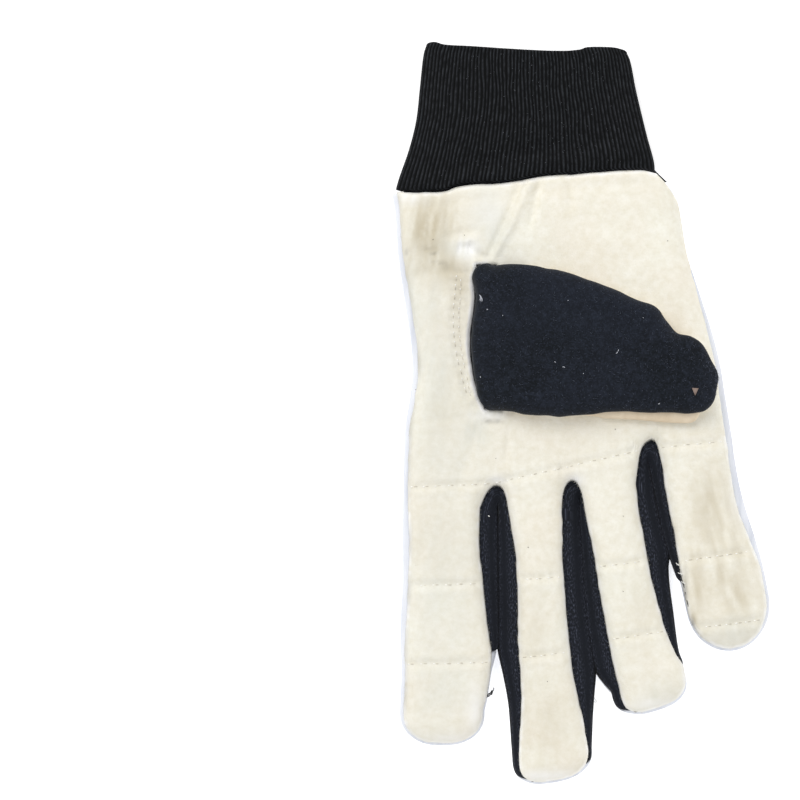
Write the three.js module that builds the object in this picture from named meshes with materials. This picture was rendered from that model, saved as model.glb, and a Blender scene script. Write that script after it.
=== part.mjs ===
// A wicketkeeping inner glove for the right hand, lying palm up with its thumb folded across the palm.
// Millimetres: +X to the little finger's side, +Y to the cuff, +Z up out of the palm, floor at z = 0.
import * as THREE from "three";

// Wall thickness of each material
const CHAMOIS_WALL = 2.2;
const THUMB_FRONT_WALL = 1.6;
const BACK_WALL = 1.2;
const KNIT_WALL = 1.2;
const CUFF_WALL = 2;

// Heights above the floor
const GAP = 0.3;
const SEAM_Z = 8.2;
const PALM_TOP = 14;
const FINGER_TOP = 12.8;
const LITTLE_TOP = 12;
const BACK_EDGE_Z = 3.5;

// How the edges roll
const PALM_ROLL = 7.5;
const TUCK = 1.5;
const BACK_ROLL = 3;
const TIP_RIM = 1.2;
const LEAST_RIM = 0.2;
const FINGER_SPREAD_GAP = 0.35;
const RIM_STEEP = 0.75;
const RIM_LEAST_TURN = 0.02;

// Black strips between the fingers: where one starts at the root, how much of a finger's length it takes to
// fade out, how much of it has to be left, and how far its end lifts
const STRIP_START = 0.05;
const STRIP_FADE = 0.08;
const STRIP_KEPT = 0.5;
const STRIP_END_LIFT = 1.8;

// Where the top of the palm falls towards the finger tips, and across them towards the little finger
const FINGER_FALL = { from: -5, to: 40 };
const LITTLE_FALL = { lean: 0.2, from: 22, to: 40 };

// Palm side of the hand, index edge and little edge, from the cuff seam down to the finger roots
const INDEX_EDGE = table("x y rim", [
  [-64.6, 77.5, 1.8],
  [-63.6, 70, 1.6],
  [-62.6, 56, 1.8],
  [-60.2, 41, 2.0],
  [-57.8, 25, 2.0],
  [-57.2, 13, 2.0],
  [-58.8, 2, 1.8],
  [-60.1, -6, 1.7],
  [-60.7, -20, 1.6],
  [-60.7, -33.4, 1.9],
]);
const LITTLE_EDGE = table("x y rim", [
  [26.4, 84.2, 0.1],
  [32.6, 76, 0.1],
  [34.8, 69, 0.1],
  [37.1, 55, 0.2],
  [40.8, 41, 0.8],
  [44.6, 27, 1.3],
  [47.0, 16, 1.7],
  [48.3, 6, 2.0],
  [50.0, -5, 2.3],
  [51.0, -11, 2.4],
  [51.58, -15.1, 2.2],
]);

// Where the cuff meets the hand
const CUFF_SEAM = table("x y", [
  [-64.6, 77.5],
  [-56, 77.6],
  [-49.5, 77.9],
  [-44.3, 80.3],
  [-28.5, 81.4],
  [-7.5, 83.1],
  [12, 84.6],
  [20.5, 84.9],
  [26.4, 84.2],
]);

// Fingers from the index to the little one. Each has its root and tip, the share of its length where
// the tip starts to round off, how square the tip is, how far it slants, and a row for each station:
// the share of the length, the palm panel's half widths, and how far the sides bulge.
// A side ends its black strip at leftEnd or rightEnd.
const SLANT_START = 0.7;
const FINGERS = [
  {
    name: "index",
    root: [-48.5, -33.4],
    tip: [-49.2, -115.7],
    tipStart: 0.86,
    tipPower: 2.5,
    slant: 0,
    leftEnd: 0,
    rightEnd: 0.69,
    quilts: [0.33, 0.66],
    stations: table("t palmLeft palmRight outLeft outRight", [
      [0, 12.2, 13.1, 14.1, 19.0],
      [0.15, 11.6, 12.8, 14.1, 19.2],
      [0.3, 11.9, 14.1, 13.9, 19.3],
      [0.45, 12.3, 15.5, 14.4, 19.4],
      [0.6, 13.0, 17.3, 14.4, 19.4],
      [0.7, 12.8, 17.2, 14.1, 17.6],
      [0.8, 12.9, 15.9, 14.3, 16.4],
      [0.86, 13.2, 14.7, 14.6, 15.4],
    ]),
  },
  {
    name: "middle",
    root: [-16.3, -33.4],
    tip: [-11.4, -129.7],
    tipStart: 0.9,
    tipPower: 3,
    slant: 0.08,
    leftEnd: 0.97,
    rightEnd: 0.97,
    quilts: [0.24, 0.53],
    stations: table("t palmLeft palmRight outLeft outRight", [
      [0, 9.4, 9.5, 12.4, 16.1],
      [0.1, 8.3, 9.3, 13.0, 16.0],
      [0.2, 7.5, 8.8, 13.5, 16.0],
      [0.4, 8.0, 9.3, 14.4, 16.2],
      [0.5, 8.3, 9.7, 14.9, 16.6],
      [0.6, 8.0, 10.4, 13.5, 17.3],
      [0.7, 8.1, 11.7, 12.6, 17.0],
      [0.8, 9.1, 13.3, 12.5, 16.6],
      [0.9, 10.1, 14.3, 12.3, 15.8],
    ]),
  },
  {
    name: "ring",
    root: [10.3, -26.4],
    tip: [26.1, -105.2],
    tipStart: 0.88,
    tipPower: 3,
    slant: -0.28,
    leftEnd: 0.97,
    rightEnd: 0.82,
    quilts: [0.28, 0.59],
    stations: table("t palmLeft palmRight outLeft outRight", [
      [0, 10.3, 9.1, 10.7, 14.7],
      [0.1, 10.5, 8.2, 11.8, 14.4],
      [0.25, 10.4, 8.0, 13.4, 14.6],
      [0.4, 10.9, 7.8, 15.2, 13.6],
      [0.5, 11.0, 8.1, 16.3, 12.9],
      [0.65, 11.3, 9.0, 17.3, 12.5],
      [0.76, 11.3, 10.7, 17.2, 12.5],
      [0.84, 11.0, 12.6, 15.3, 13.1],
      [0.88, 10.9, 12.6, 14.0, 12.9],
    ]),
  },
  {
    name: "little",
    root: [40.8, -17.3],
    tip: [54.4, -83.5],
    tipStart: 0.76,
    tipPower: 2,
    slant: 0,
    leftEnd: 0.68,
    rightEnd: 0,
    quilts: [0.45, 0.78],
    stations: table("t palmLeft palmRight outLeft outRight", [
      [0, 12.6, 11.0, 16.6, 13.2],
      [0.15, 13.2, 10.4, 16.6, 12.9],
      [0.3, 13.4, 10.2, 16.7, 13.3],
      [0.45, 14.3, 11.0, 15.8, 14.4],
      [0.6, 14.8, 12.4, 15.2, 15.1],
      [0.76, 14.6, 12.9, 14.9, 15.1],
    ]),
  },
];

// The slots between fingers: top of the slot in the palm panel, and the crotch lower down in the back
const SLOTS = [
  { name: "index_middle", apex: [-29.6, -25.7], crotch: [-29.1, -32.6] },
  { name: "middle_ring", apex: [-2.6, -24.3], crotch: [0, -31.2] },
  { name: "ring_little", apex: [24.0, -10.0], crotch: [23.6, -18.6] },
];

// The thumb hole's two long edges in the palm panel: share of the way down, and place
const HOLE_LEFT = table("v x y", [
  [0, -46, 79.5],
  [0.26, -38.3, 52.8],
  [0.36, -40.1, 41],
  [0.5, -40.4, 26],
  [0.63, -38.9, 12.8],
  [0.74, -36.3, 0.4],
  [1, -35.4, -33.4],
]);
const HOLE_RIGHT = table("v x y", [
  [0, -36, 80.9],
  [0.26, -29.5, 52.8],
  [0.5, -30.5, 26],
  [0.74, -28.2, 0.4],
  [1, -25.7, -33.9],
]);
const PALM_ROWS = [0, 0.05, 0.12, 0.19, 0.26, 0.36, 0.48, 0.61, 0.74, 0.83, 0.91, 0.965, 1];
const HOLE_FIRST_ROW = 4;
const HOLE_LAST_ROW = 8;

// Dents and folds of the palm: a segment, its height (below zero for a groove) and half its width
const FOLDS = table("x1 y1 x2 y2 height width", [
  [-20.8, 82, -30.5, 55, 1.0, 2.6],
  [-16.4, 82, -26, 60, -0.9, 2.4],
  [-14.2, 82, -15.9, 68, 0.7, 2.4],
  [-4, 83, -3, 74, -0.7, 2.4],
  [-39, 62, -37.5, 59, 1.3, 4],
  [-54, 55, -48, 54, -1.3, 7],
  [-35.5, -4, -45, -30, -0.6, 3],
  [48, -38, 50, -58, -0.6, 2.6],
  [40, -36, 43, -56, 0.5, 2.4],
]);
const QUILT_DEPTH = 0.9;
const QUILT_WIDTH = 1.7;
const QUILT_REACH = 18;
const RELIEF_FADE = 4;
const PALM_QUILT = table("x y", [
  [-60.7, -26.1],
  [-31.3, -24.9],
  [-15.2, -21.2],
  [-2.6, -18.4],
  [20.5, -13.1],
  [28.5, -12.1],
  [53.7, -9.6],
]);

// The folded thumb: distance along it from the root edge, its two edges, its height and its edge's height
const THUMB = table("along low high crown edge", [
  [-3.6, 7, 47, 11.0, 11.0],
  [-0.6, 4, 50, 11.1, 11.1],
  [0.1, 2.4, 51.4, 12.6, 12.4],
  [0.9, 1.9, 51.8, 16.0, 14.4],
  [2.4, 1.4, 52.0, 19.4, 14.5],
  [5, 0.8, 52.1, 21.8, 14.6],
  [8.4, 0.2, 52.2, 23.2, 15],
  [11.6, -0.2, 52.2, 23.9, 18.5],
  [18.2, -0.6, 52.0, 24.5, 18.5],
  [26, -0.9, 51.5, 24.6, 18.5],
  [35, -1.2, 49.2, 24.6, 18.5],
  [45, -0.7, 46.0, 24.5, 18.5],
  [55, -0.2, 42.0, 24.3, 18.5],
  [66, 0.5, 37.3, 24.0, 18.5],
  [71, 0.8, 31.6, 23.8, 18.5],
  [78, 1.1, 26.8, 23.5, 18.5],
  [83, 2.1, 23.2, 23.2, 18.5],
  [85.7, 4.6, 18.6, 22.8, 18.5],
  [86.8, 11.5, 11.5, 22.5, 18.5],
]);
const THUMB_ROOT_X = -39.65;
const THUMB_ROOT_EDGE = { x: -35.5, lean: -2.1, bow: -12.4 };
const THUMB_STRAIGHT = 20;
const THUMB_ROLL = 7;
const THUMB_FULL_ROW = 4;
const THUMB_TIP_FROM = 60;
const THUMB_FRONT_FIRST = 7;
const THUMB_FRONT_Z = PALM_TOP + 0.4;
const THUMB_FRONT_PROUD = 0.9;

// The cuff's outline at each height above the seam: share of its height, and its two edges
const CUFF_SIDES = table("v left right", [
  [0, -63.6, 25.6],
  [0.1, -63.2, 25.4],
  [0.3, -60.4, 23.3],
  [0.5, -57.8, 21.2],
  [0.7, -56.6, 19.2],
  [0.93, -55.2, 17.2],
  [1, -53.8, 15.6],
]);
const CUFF_TOP = table("x y", [
  [-60, 127.4],
  [-50, 129.2],
  [-35, 127.8],
  [-10, 126.8],
  [5, 127.8],
  [13, 127.6],
  [24, 124.5],
]);
const CUFF_RIBS = 28;
const CUFF_RIB_DEPTH = 0.55;
const CUFF_TUCK = 3;
const CUFF_TUCK_INSET = 3.2;
const CUFF_TUCK_ROOM = 0.4;
const CUFF_STEP = { from: 0.4, to: 1.3 };
const CUFF_ROWS = [0.48, 0.93, 1];
const CUFF_HEIGHT_SEAM = 11.2;
const CUFF_HEIGHT_TOP = 10.4;
const CUFF_ROUNDNESS = 2.6;
const CUFF_CROWDING = 0.95;

// Mesh density
const PALM_ACROSS = 7;
const BACK_ACROSS = 2;
const THUMB_ACROSS = 8;
const ARCH_STEPS = 4;
const TIP_STEPS = 4;
const ROLL_STEPS = 3;
const THUMB_FRONT_ACROSS = 4;
const QUILT_NEAR = 0.035;
const LONGEST_STEP = 0.08;
const SHORTEST_STEP = 0.02;
const WELD = 0.002;

function table(columns, rows) {
  const names = columns.split(" ");
  return rows.map((row) => Object.fromEntries(names.map((name, i) => [name, row[i]])));
}

const lerp = THREE.MathUtils.lerp;
const clamp = THREE.MathUtils.clamp;
const smooth = THREE.MathUtils.smoothstep;
const mix = (a, b, k) => a.map((value, i) => lerp(value, b[i], k));
const steps = (count) => Array.from({ length: count + 1 }, (_, i) => i / count);
const crowded = (count) => steps(count).map((k) => (1 - Math.cos(Math.PI * k)) / 2);

// Reads one column of a table at a value of its first column, smoothly between rows
function read(rows, key, column, at) {
  const last = rows.length - 1;
  let i = 0;
  while (i < last - 1 && at > rows[i + 1][key]) i += 1;
  const span = rows[i + 1][key] - rows[i][key];
  const k = clamp((at - rows[i][key]) / span, 0, 1);
  const slope = (j) => {
    const a = rows[Math.max(j - 1, 0)];
    const b = rows[Math.min(j + 1, last)];
    return ((b[column] - a[column]) / (b[key] - a[key])) * span;
  };
  const cubic = k * k * (3 - 2 * k);
  const bend = k * (1 - k) * ((1 - k) * slope(i) - k * slope(i + 1));
  return lerp(rows[i][column], rows[i + 1][column], cubic) + bend;
}

// A smooth line through a table's points, cut at the given shares of its length
function along(rows, shares) {
  const curve = new THREE.SplineCurve(rows.map((row) => new THREE.Vector2(row.x, row.y)));
  return shares.map((share) => curve.getPointAt(share).toArray());
}

// A finger's own frame: a point at a share of its length and an offset across it, held back by an inset
function onFinger(finger, t, offset, inset = 0) {
  const way = [finger.tip[0] - finger.root[0], finger.tip[1] - finger.root[1]];
  const length = Math.hypot(...way);
  const down = way.map((value) => value / length);
  const across = [-down[1], down[0]];
  const reach = t * length - inset + finger.slant * offset * smooth(t, SLANT_START, 1);
  return [0, 1].map((i) => finger.root[i] + down[i] * reach + across[i] * offset);
}

// Stations down a finger, crowded at its quilt lines and round its tip, where the width falls to nothing
function fingerStations(finger) {
  const [first, second] = finger.quilts;
  const round = (quilt) => [quilt - QUILT_NEAR, quilt, quilt + QUILT_NEAR];
  const shaft = [0, first / 2, ...round(first), (first + second) / 2, ...round(second)];
  const rest = finger.tipStart - shaft.at(-1);
  if (rest > LONGEST_STEP) shaft.push(shaft.at(-1) + rest / 2);
  const stations = shaft.filter((t) => t < finger.tipStart - SHORTEST_STEP).map((t) => ({ t, width: 1 }));
  for (const k of steps(TIP_STEPS)) {
    const angle = (k * Math.PI) / 2;
    const power = 2 / finger.tipPower;
    const t = finger.tipStart + (1 - finger.tipStart) * Math.sin(angle) ** power;
    stations.push({ t, width: k === 1 ? 0 : Math.cos(angle) ** power });
  }
  return stations;
}

// Where one side of a finger runs: palm edge, bulge, and how far its black strip is present
function fingerSide(finger, side, t) {
  const at = Math.min(t, finger.tipStart);
  const palm = read(finger.stations, "t", side < 0 ? "palmLeft" : "palmRight", at);
  const out = read(finger.stations, "t", side < 0 ? "outLeft" : "outRight", at);
  const end = side < 0 ? finger.leftEnd : finger.rightEnd;
  const strip = end === 0 ? 0 : 1 - smooth(t, end - STRIP_FADE, end);
  return { palm, out, strip };
}

// The back panel's edge at one side of a finger: the flat part's edge, and the roll above it
function backSide(finger, side, t) {
  const { palm, out, strip } = fingerSide(finger, side, t);
  const rim = lerp(Math.max(out - palm, LEAST_RIM), TIP_RIM, smooth(t, finger.tipStart, 1));
  return {
    flat: lerp(palm - TUCK, out - BACK_ROLL, strip),
    roll: lerp(TUCK + rim, BACK_ROLL, strip),
    height: lerp((SEAM_Z - GAP) / 2, BACK_EDGE_Z, strip),
    turn: lerp(Math.PI / 2, 0, strip),
  };
}

// An arch from one point to another over an apex
function arch(from, to, apex, angle) {
  const middle = mix(from, to, 0.5);
  return [0, 1].map(
    (i) => middle[i] + ((from[i] - to[i]) / 2) * Math.cos(angle) + (apex[i] - middle[i]) * Math.sin(angle),
  );
}
const archAngles = steps(ARCH_STEPS).map((k) => k * Math.PI);

// A grid of points filling the space between four lines
function coons(top, bottom, left, right) {
  return left.map((_, j) => {
    const v = j / (left.length - 1);
    return top.map((_, i) => {
      const u = i / (top.length - 1);
      return [0, 1].map((c) => {
        const down = lerp(top[i][c], bottom[i][c], v);
        const over = lerp(left[j][c], right[j][c], u);
        const corners = lerp(lerp(top[0][c], top.at(-1)[c], u), lerp(bottom[0][c], bottom.at(-1)[c], u), v);
        return down + over - corners;
      });
    });
  });
}

// Collects points and triangles, giving a point that comes again its first number
class Sheet {
  constructor() {
    this.points = [];
    this.faces = [];
    this.known = new Map();
  }
  add(point) {
    const key = point.map((value) => Math.round(value / WELD)).join();
    if (!this.known.has(key)) {
      this.known.set(key, this.points.length);
      this.points.push(point);
    }
    return this.known.get(key);
  }
  grid(rows, flip = false) {
    const numbers = rows.map((row) => row.map((point) => this.add(point)));
    for (let j = 0; j + 1 < rows.length; j += 1) {
      for (let i = 0; i + 1 < rows[j].length; i += 1) {
        const [a, b] = [numbers[j][i], numbers[j][i + 1]];
        const [d, c] = [numbers[j + 1][i], numbers[j + 1][i + 1]];
        for (const face of [[a, b, c], [a, c, d]]) {
          if (new Set(face).size === 3) this.faces.push(flip ? face.toReversed() : face);
        }
      }
    }
  }
}

// The direction out of the sheet at each point
function normals(sheet) {
  const out = sheet.points.map(() => new THREE.Vector3());
  for (const face of sheet.faces) {
    const [a, b, c] = face.map((i) => new THREE.Vector3(...sheet.points[i]));
    const normal = b.clone().sub(a).cross(c.clone().sub(a));
    for (const i of face) out[i].add(normal);
  }
  return out.map((normal) => normal.normalize());
}

// Gives a sheet its wall, inwards, and closes its rim. A rim that faces sideways, or lies at the seam height,
// has its wall laid level, and no inner point goes below that height. The wall is a number or a function of
// the point's number.
function thicken(sheet, wall, seam = 0) {
  const wallAt = typeof wall === "function" ? wall : () => wall;
  const out = normals(sheet);
  const uses = new Map();
  for (const face of sheet.faces) {
    face.forEach((a, k) => uses.set(a + "," + face[(k + 1) % 3], [a, face[(k + 1) % 3]]));
  }
  const rim = [...uses.values()].filter(([a, b]) => !uses.has(b + "," + a));
  for (const i of new Set(rim.flat())) {
    const steep = Math.abs(out[i].z) < RIM_STEEP || sheet.points[i][2] <= seam;
    if (steep && Math.hypot(out[i].x, out[i].y) > RIM_LEAST_TURN) out[i].setZ(0).normalize();
  }
  const count = sheet.points.length;
  const inner = sheet.points.map((point, i) => {
    const place = new THREE.Vector3(...point).addScaledVector(out[i], -wallAt(i));
    return place.setZ(Math.max(place.z, seam));
  });
  const faces = [...sheet.faces, ...sheet.faces.map(([a, b, c]) => [c + count, b + count, a + count])];
  for (const [a, b] of rim) faces.push([b, a, a + count], [b, a + count, b + count]);
  const geometry = new THREE.BufferGeometry();
  const positions = [...sheet.points.flat(), ...inner.flatMap((point) => point.toArray())];
  geometry.setAttribute("position", new THREE.Float32BufferAttribute(positions, 3));
  geometry.setIndex(faces.flat());
  return geometry;
}

// Distance from a point to a line of points
function distanceTo(line, x, y) {
  let best = Infinity;
  for (let i = 0; i + 1 < line.length; i += 1) {
    const [ax, ay] = line[i];
    const [bx, by] = [line[i + 1][0] - ax, line[i + 1][1] - ay];
    const k = clamp(((x - ax) * bx + (y - ay) * by) / (bx * bx + by * by || 1), 0, 1);
    best = Math.min(best, Math.hypot(x - ax - k * bx, y - ay - k * by));
  }
  return best;
}
// A quarter circle's rise, and a ridge that fades to both sides
const dome = (share) => Math.sqrt(1 - (1 - clamp(share, 0, 1)) ** 2);
const ridge = (distance, width) => Math.exp(-((distance / width) ** 2));

// The plan of a panel: the grids that fill it and the line round its sides, slots and tips.
// half gives a finger's half width, sideLine one side of the palm, and slotLine an arch between fingers.
function panelPlan({ columns, tipInset, half, sideLine, slotLine }) {
  const shares = crowded(columns);
  const fingers = FINGERS.map((finger) =>
    fingerStations(finger).map(({ t, width }) => {
      const inset = tipInset * smooth(t, finger.tipStart, 1);
      const left = onFinger(finger, t, -half(finger, -1, t) * width, inset);
      const right = onFinger(finger, t, half(finger, 1, t) * width, inset);
      return shares.map((share) => mix(left, right, share));
    }),
  );
  const arches = SLOTS.map((slot, i) => slotLine(slot, fingers[i][0].at(-1), fingers[i + 1][0][0]));
  const left = sideLine(INDEX_EDGE, fingers[0][0][0]);
  const right = sideLine(LITTLE_EDGE, fingers[3][0].at(-1));
  const holeLeft = holeLine(HOLE_LEFT, arches[0][0]);
  const holeRight = holeLine(HOLE_RIGHT, arches[0].at(-1));
  const seam = (from, to, line) => line.map((_, i) => seamPoint(mix(from, to, i / (line.length - 1))[0]));
  const palmRoots = fingers.map((rows) => rows[0]);
  const farRoots = [
    ...palmRoots[1],
    ...arches[1].slice(1),
    ...palmRoots[2].slice(1),
    ...arches[2].slice(1),
    ...palmRoots[3].slice(1),
  ];
  const straight = (row) => arches[0].map((_, i) => mix(holeLeft[row], holeRight[row], i / ARCH_STEPS));
  const [holeTop, holeEnd] = [straight(HOLE_FIRST_ROW), straight(HOLE_LAST_ROW)];
  const holeEdges = (from, to) => [holeLeft, holeRight].map((line) => line.slice(from, to + 1));
  const parts = {
    index: coons(fit(seam(left[0], holeLeft[0], palmRoots[0]), left[0]), palmRoots[0], left, holeLeft),
    above: coons(seam(holeLeft[0], holeRight[0], arches[0]), holeTop, ...holeEdges(0, HOLE_FIRST_ROW)),
    hole: coons(holeTop, holeEnd, ...holeEdges(HOLE_FIRST_ROW, HOLE_LAST_ROW)),
    below: coons(holeEnd, arches[0], ...holeEdges(HOLE_LAST_ROW, PALM_ROWS.length - 1)),
    rest: coons(fit(seam(holeRight[0], right[0], farRoots), null, right[0]), farRoots, holeRight, right),
  };
  const outline = [...left];
  fingers.forEach((rows, i) => {
    outline.push(...rows.map((row) => row[0]).slice(1));
    outline.push(...rows.map((row) => row.at(-1)).reverse().slice(1));
    if (i < 3) outline.push(...arches[i].slice(1));
  });
  outline.push(...right.toReversed().slice(1));
  return { parts, fingers, outline };
}

function seamPoint(x) {
  return [x, read(CUFF_SEAM, "x", "y", x)];
}

function fit(line, first, last) {
  if (first) line[0] = first;
  if (last) line[line.length - 1] = last;
  return line;
}

function holeLine(rows, end) {
  const line = PALM_ROWS.map((v) => ["x", "y"].map((column) => read(rows, "v", column, v)));
  line[0] = seamPoint(line[0][0]);
  return fit(line, null, end);
}

// Palm panel: one chamois piece, the palm and four finger fronts, with a slot for the thumb
function palmPanel() {
  const plan = panelPlan({
    columns: PALM_ACROSS,
    tipInset: 0,
    half: (finger, side, t) => fingerSide(finger, side, t).palm,
    sideLine: (rows, end) => fit(along(rows, PALM_ROWS), null, end),
    slotLine: (slot, from, to) => archAngles.map((angle) => arch(from, to, slot.apex, angle)),
  });
  const quilts = [PALM_QUILT.map((row) => [row.x, row.y])];
  for (const finger of FINGERS) {
    for (const t of finger.quilts) {
      quilts.push([-QUILT_REACH, QUILT_REACH].map((offset) => onFinger(finger, t, offset)));
    }
  }
  const height = ([x, y]) => {
    const edge = distanceTo(plan.outline, x, y);
    const littleSide = smooth(x - LITTLE_FALL.lean * y, LITTLE_FALL.from, LITTLE_FALL.to);
    const fingerTop = lerp(FINGER_TOP, LITTLE_TOP, littleSide);
    const top = lerp(PALM_TOP, fingerTop, smooth(-y, FINGER_FALL.from, FINGER_FALL.to));
    let relief = 0;
    for (const fold of FOLDS) {
      const segment = [[fold.x1, fold.y1], [fold.x2, fold.y2]];
      relief += fold.height * ridge(distanceTo(segment, x, y), fold.width);
    }
    const nearest = Math.min(...quiltDistances(quilts, x, y));
    relief -= QUILT_DEPTH * ridge(nearest, QUILT_WIDTH);
    const crown = (top - SEAM_Z) * dome(edge / PALM_ROLL);
    return [x, y, SEAM_Z + crown + relief * smooth(edge, 0, RELIEF_FADE)];
  };
  const sheet = new Sheet();
  const raise = (rows) => rows.map((row) => row.map(height));
  const { index, above, below, rest } = plan.parts;
  for (const rows of [index, above, below, rest, ...plan.fingers]) sheet.grid(raise(rows), true);
  return thicken(sheet, CHAMOIS_WALL, SEAM_Z);
}

// A finger's quilt lines only reach across their own finger
function quiltDistances(quilts, x, y) {
  return quilts.map((line, i) => {
    const distance = distanceTo(line, x, y);
    const own = i === 0 || Math.floor((i - 1) / 2) === nearestFinger(x, y);
    return own ? distance : Infinity;
  });
}

function nearestFinger(x, y) {
  const distances = FINGERS.map((finger) => distanceTo([finger.root, finger.tip], x, y));
  return distances.indexOf(Math.min(...distances));
}

// A rolled edge: from the flat part's edge out along the side direction and up to the seam
function rolledEdge(base, out, z, { roll, height, turn }, count) {
  return steps(count).map((k) => {
    const angle = lerp(-Math.PI / 2, turn, k);
    const reach = roll * Math.cos(angle);
    return [base[0] + out[0] * reach, base[1] + out[1] * reach, z + height * (1 + Math.sin(angle))];
  });
}

// Directions out of a line of points, to its right as it runs
function sideways(line) {
  return line.map((_, i) => {
    const a = line[Math.max(i - 1, 0)];
    const b = line[Math.min(i + 1, line.length - 1)];
    const length = Math.hypot(b[0] - a[0], b[1] - a[1]) || 1;
    return [(b[1] - a[1]) / length, -(b[0] - a[0]) / length];
  });
}

// Back panel: white stretch knit, flat on the floor, rolled up round the sides and the finger tips
function backPanel() {
  const plan = panelPlan({
    columns: BACK_ACROSS,
    tipInset: TUCK,
    half: (finger, side, t) => backSide(finger, side, t).flat,
    sideLine: (rows, end) => {
      const line = along(rows, PALM_ROWS);
      const inwards = rows === INDEX_EDGE ? TUCK : -TUCK;
      return fit(line.map(([x, y]) => [x + inwards, y]), null, end);
    },
    slotLine: (slot, from, to) => {
      const apex = [slot.crotch[0], slot.crotch[1] + BACK_ROLL + FINGER_SPREAD_GAP];
      return archAngles.map((angle) => arch(from, to, apex, angle));
    },
  });
  const rolls = [];
  const sideRoll = (rows, shares) =>
    shares.map((share) => ({
      roll: TUCK + read(rows.map((row, i) => ({ i, rim: row.rim })), "i", "rim", share * (rows.length - 1)),
      height: (SEAM_Z - GAP) / 2,
      turn: Math.PI / 2,
    }));
  rolls.push(...sideRoll(INDEX_EDGE, PALM_ROWS));
  FINGERS.forEach((finger, i) => {
    const stations = fingerStations(finger);
    const down = stations.map(({ t }) => backSide(finger, -1, t));
    const up = stations.map(({ t }) => backSide(finger, 1, t)).reverse();
    rolls.push(...down.slice(1), ...up.slice(1));
    const crotch = { roll: BACK_ROLL, height: BACK_EDGE_Z, turn: 0 };
    if (i < 3) rolls.push(...archAngles.slice(1).map(() => crotch));
  });
  rolls.push(...sideRoll(LITTLE_EDGE, PALM_ROWS).reverse().slice(1));
  const out = sideways(plan.outline);
  const sheet = new Sheet();
  const lay = (rows) => rows.map((row) => row.map(([x, y]) => [x, y, 0]));
  for (const rows of [...Object.values(plan.parts), ...plan.fingers]) sheet.grid(lay(rows));
  sheet.grid(plan.outline.map((base, i) => rolledEdge(base, out[i], 0, rolls[i], ROLL_STEPS)), true);
  return thicken(sheet, BACK_WALL);
}

// Fourchette: black knit, down one finger's side, round the crotch and up the next finger's side
function fourchette(slot, before, after) {
  const side = (finger, hand) => {
    return fingerStations(finger)
      .map(({ t }) => t)
      .filter((t) => fingerSide(finger, hand, t).strip > STRIP_KEPT)
      .map((t) => {
        const { palm, out, strip } = fingerSide(finger, hand, t);
        const back = backSide(finger, hand, t);
        const width = tipWidth(finger, t);
        return {
          top: onFinger(finger, t, hand * (palm - TUCK) * width),
          bottom: onFinger(finger, Math.max(t, STRIP_START), hand * out * width),
          low: back.height * (1 + Math.sin(back.turn)) + GAP + STRIP_END_LIFT * (1 - strip),
        };
      });
  };
  const down = side(before, 1).reverse();
  const up = side(after, -1);
  const turn = archAngles.slice(1, -1).map((angle) => {
    const apex = [slot.apex[0], slot.apex[1] + TUCK];
    return {
      top: arch(down.at(-1).top, up[0].top, apex, angle),
      bottom: arch(down.at(-1).bottom, up[0].bottom, slot.crotch, angle),
      low: BACK_EDGE_Z + GAP,
    };
  });
  const high = SEAM_Z - GAP;
  const sheet = new Sheet();
  sheet.grid(
    [...down, ...turn, ...up].map(({ top, bottom, low }) =>
      steps(ROLL_STEPS).map((k) => {
        const angle = (k * Math.PI) / 2;
        const [x, y] = mix(top, bottom, Math.sin(angle));
        return [x, y, lerp(low, high, Math.cos(angle))];
      }),
    ),
  );
  return thicken(sheet, KNIT_WALL);
}

function tipWidth(finger, t) {
  const share = clamp((t - finger.tipStart) / (1 - finger.tipStart), 0, 1);
  return (1 - share ** finger.tipPower) ** (1 / finger.tipPower);
}

// A point of the thumb's plan: the root edge bows, and the bow fades along the thumb
function thumbPoint(row, share) {
  const { x, lean, bow } = THUMB_ROOT_EDGE;
  const edge = x + lean * share + bow * share * (1 - share) - THUMB_ROOT_X;
  const fade = 1 - smooth(row.along, 0, THUMB_STRAIGHT);
  return [THUMB_ROOT_X + row.along + edge * fade, lerp(row.low, row.high, share)];
}

// Thumb back: black knit that rises out of the palm's slot and lies over the palm
function thumbBack() {
  const shares = crowded(THUMB_ACROSS);
  const body = THUMB.slice(THUMB_FULL_ROW);
  const outline = [
    ...body.map((row) => thumbPoint(row, 0)),
    ...body.map((row) => thumbPoint(row, 1)).reverse(),
  ];
  const sheet = new Sheet();
  sheet.grid(
    THUMB.map((row) =>
      shares.map((share) => {
        const [x, y] = thumbPoint(row, share);
        const side = Math.min(y - row.low, row.high - y);
        const edge = row.along > THUMB_TIP_FROM ? distanceTo(outline, x, y) : side;
        return [x, y, lerp(row.edge, row.crown, dome(edge / THUMB_ROLL))];
      }),
    ),
    true,
  );
  return thicken(sheet, KNIT_WALL);
}

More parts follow.
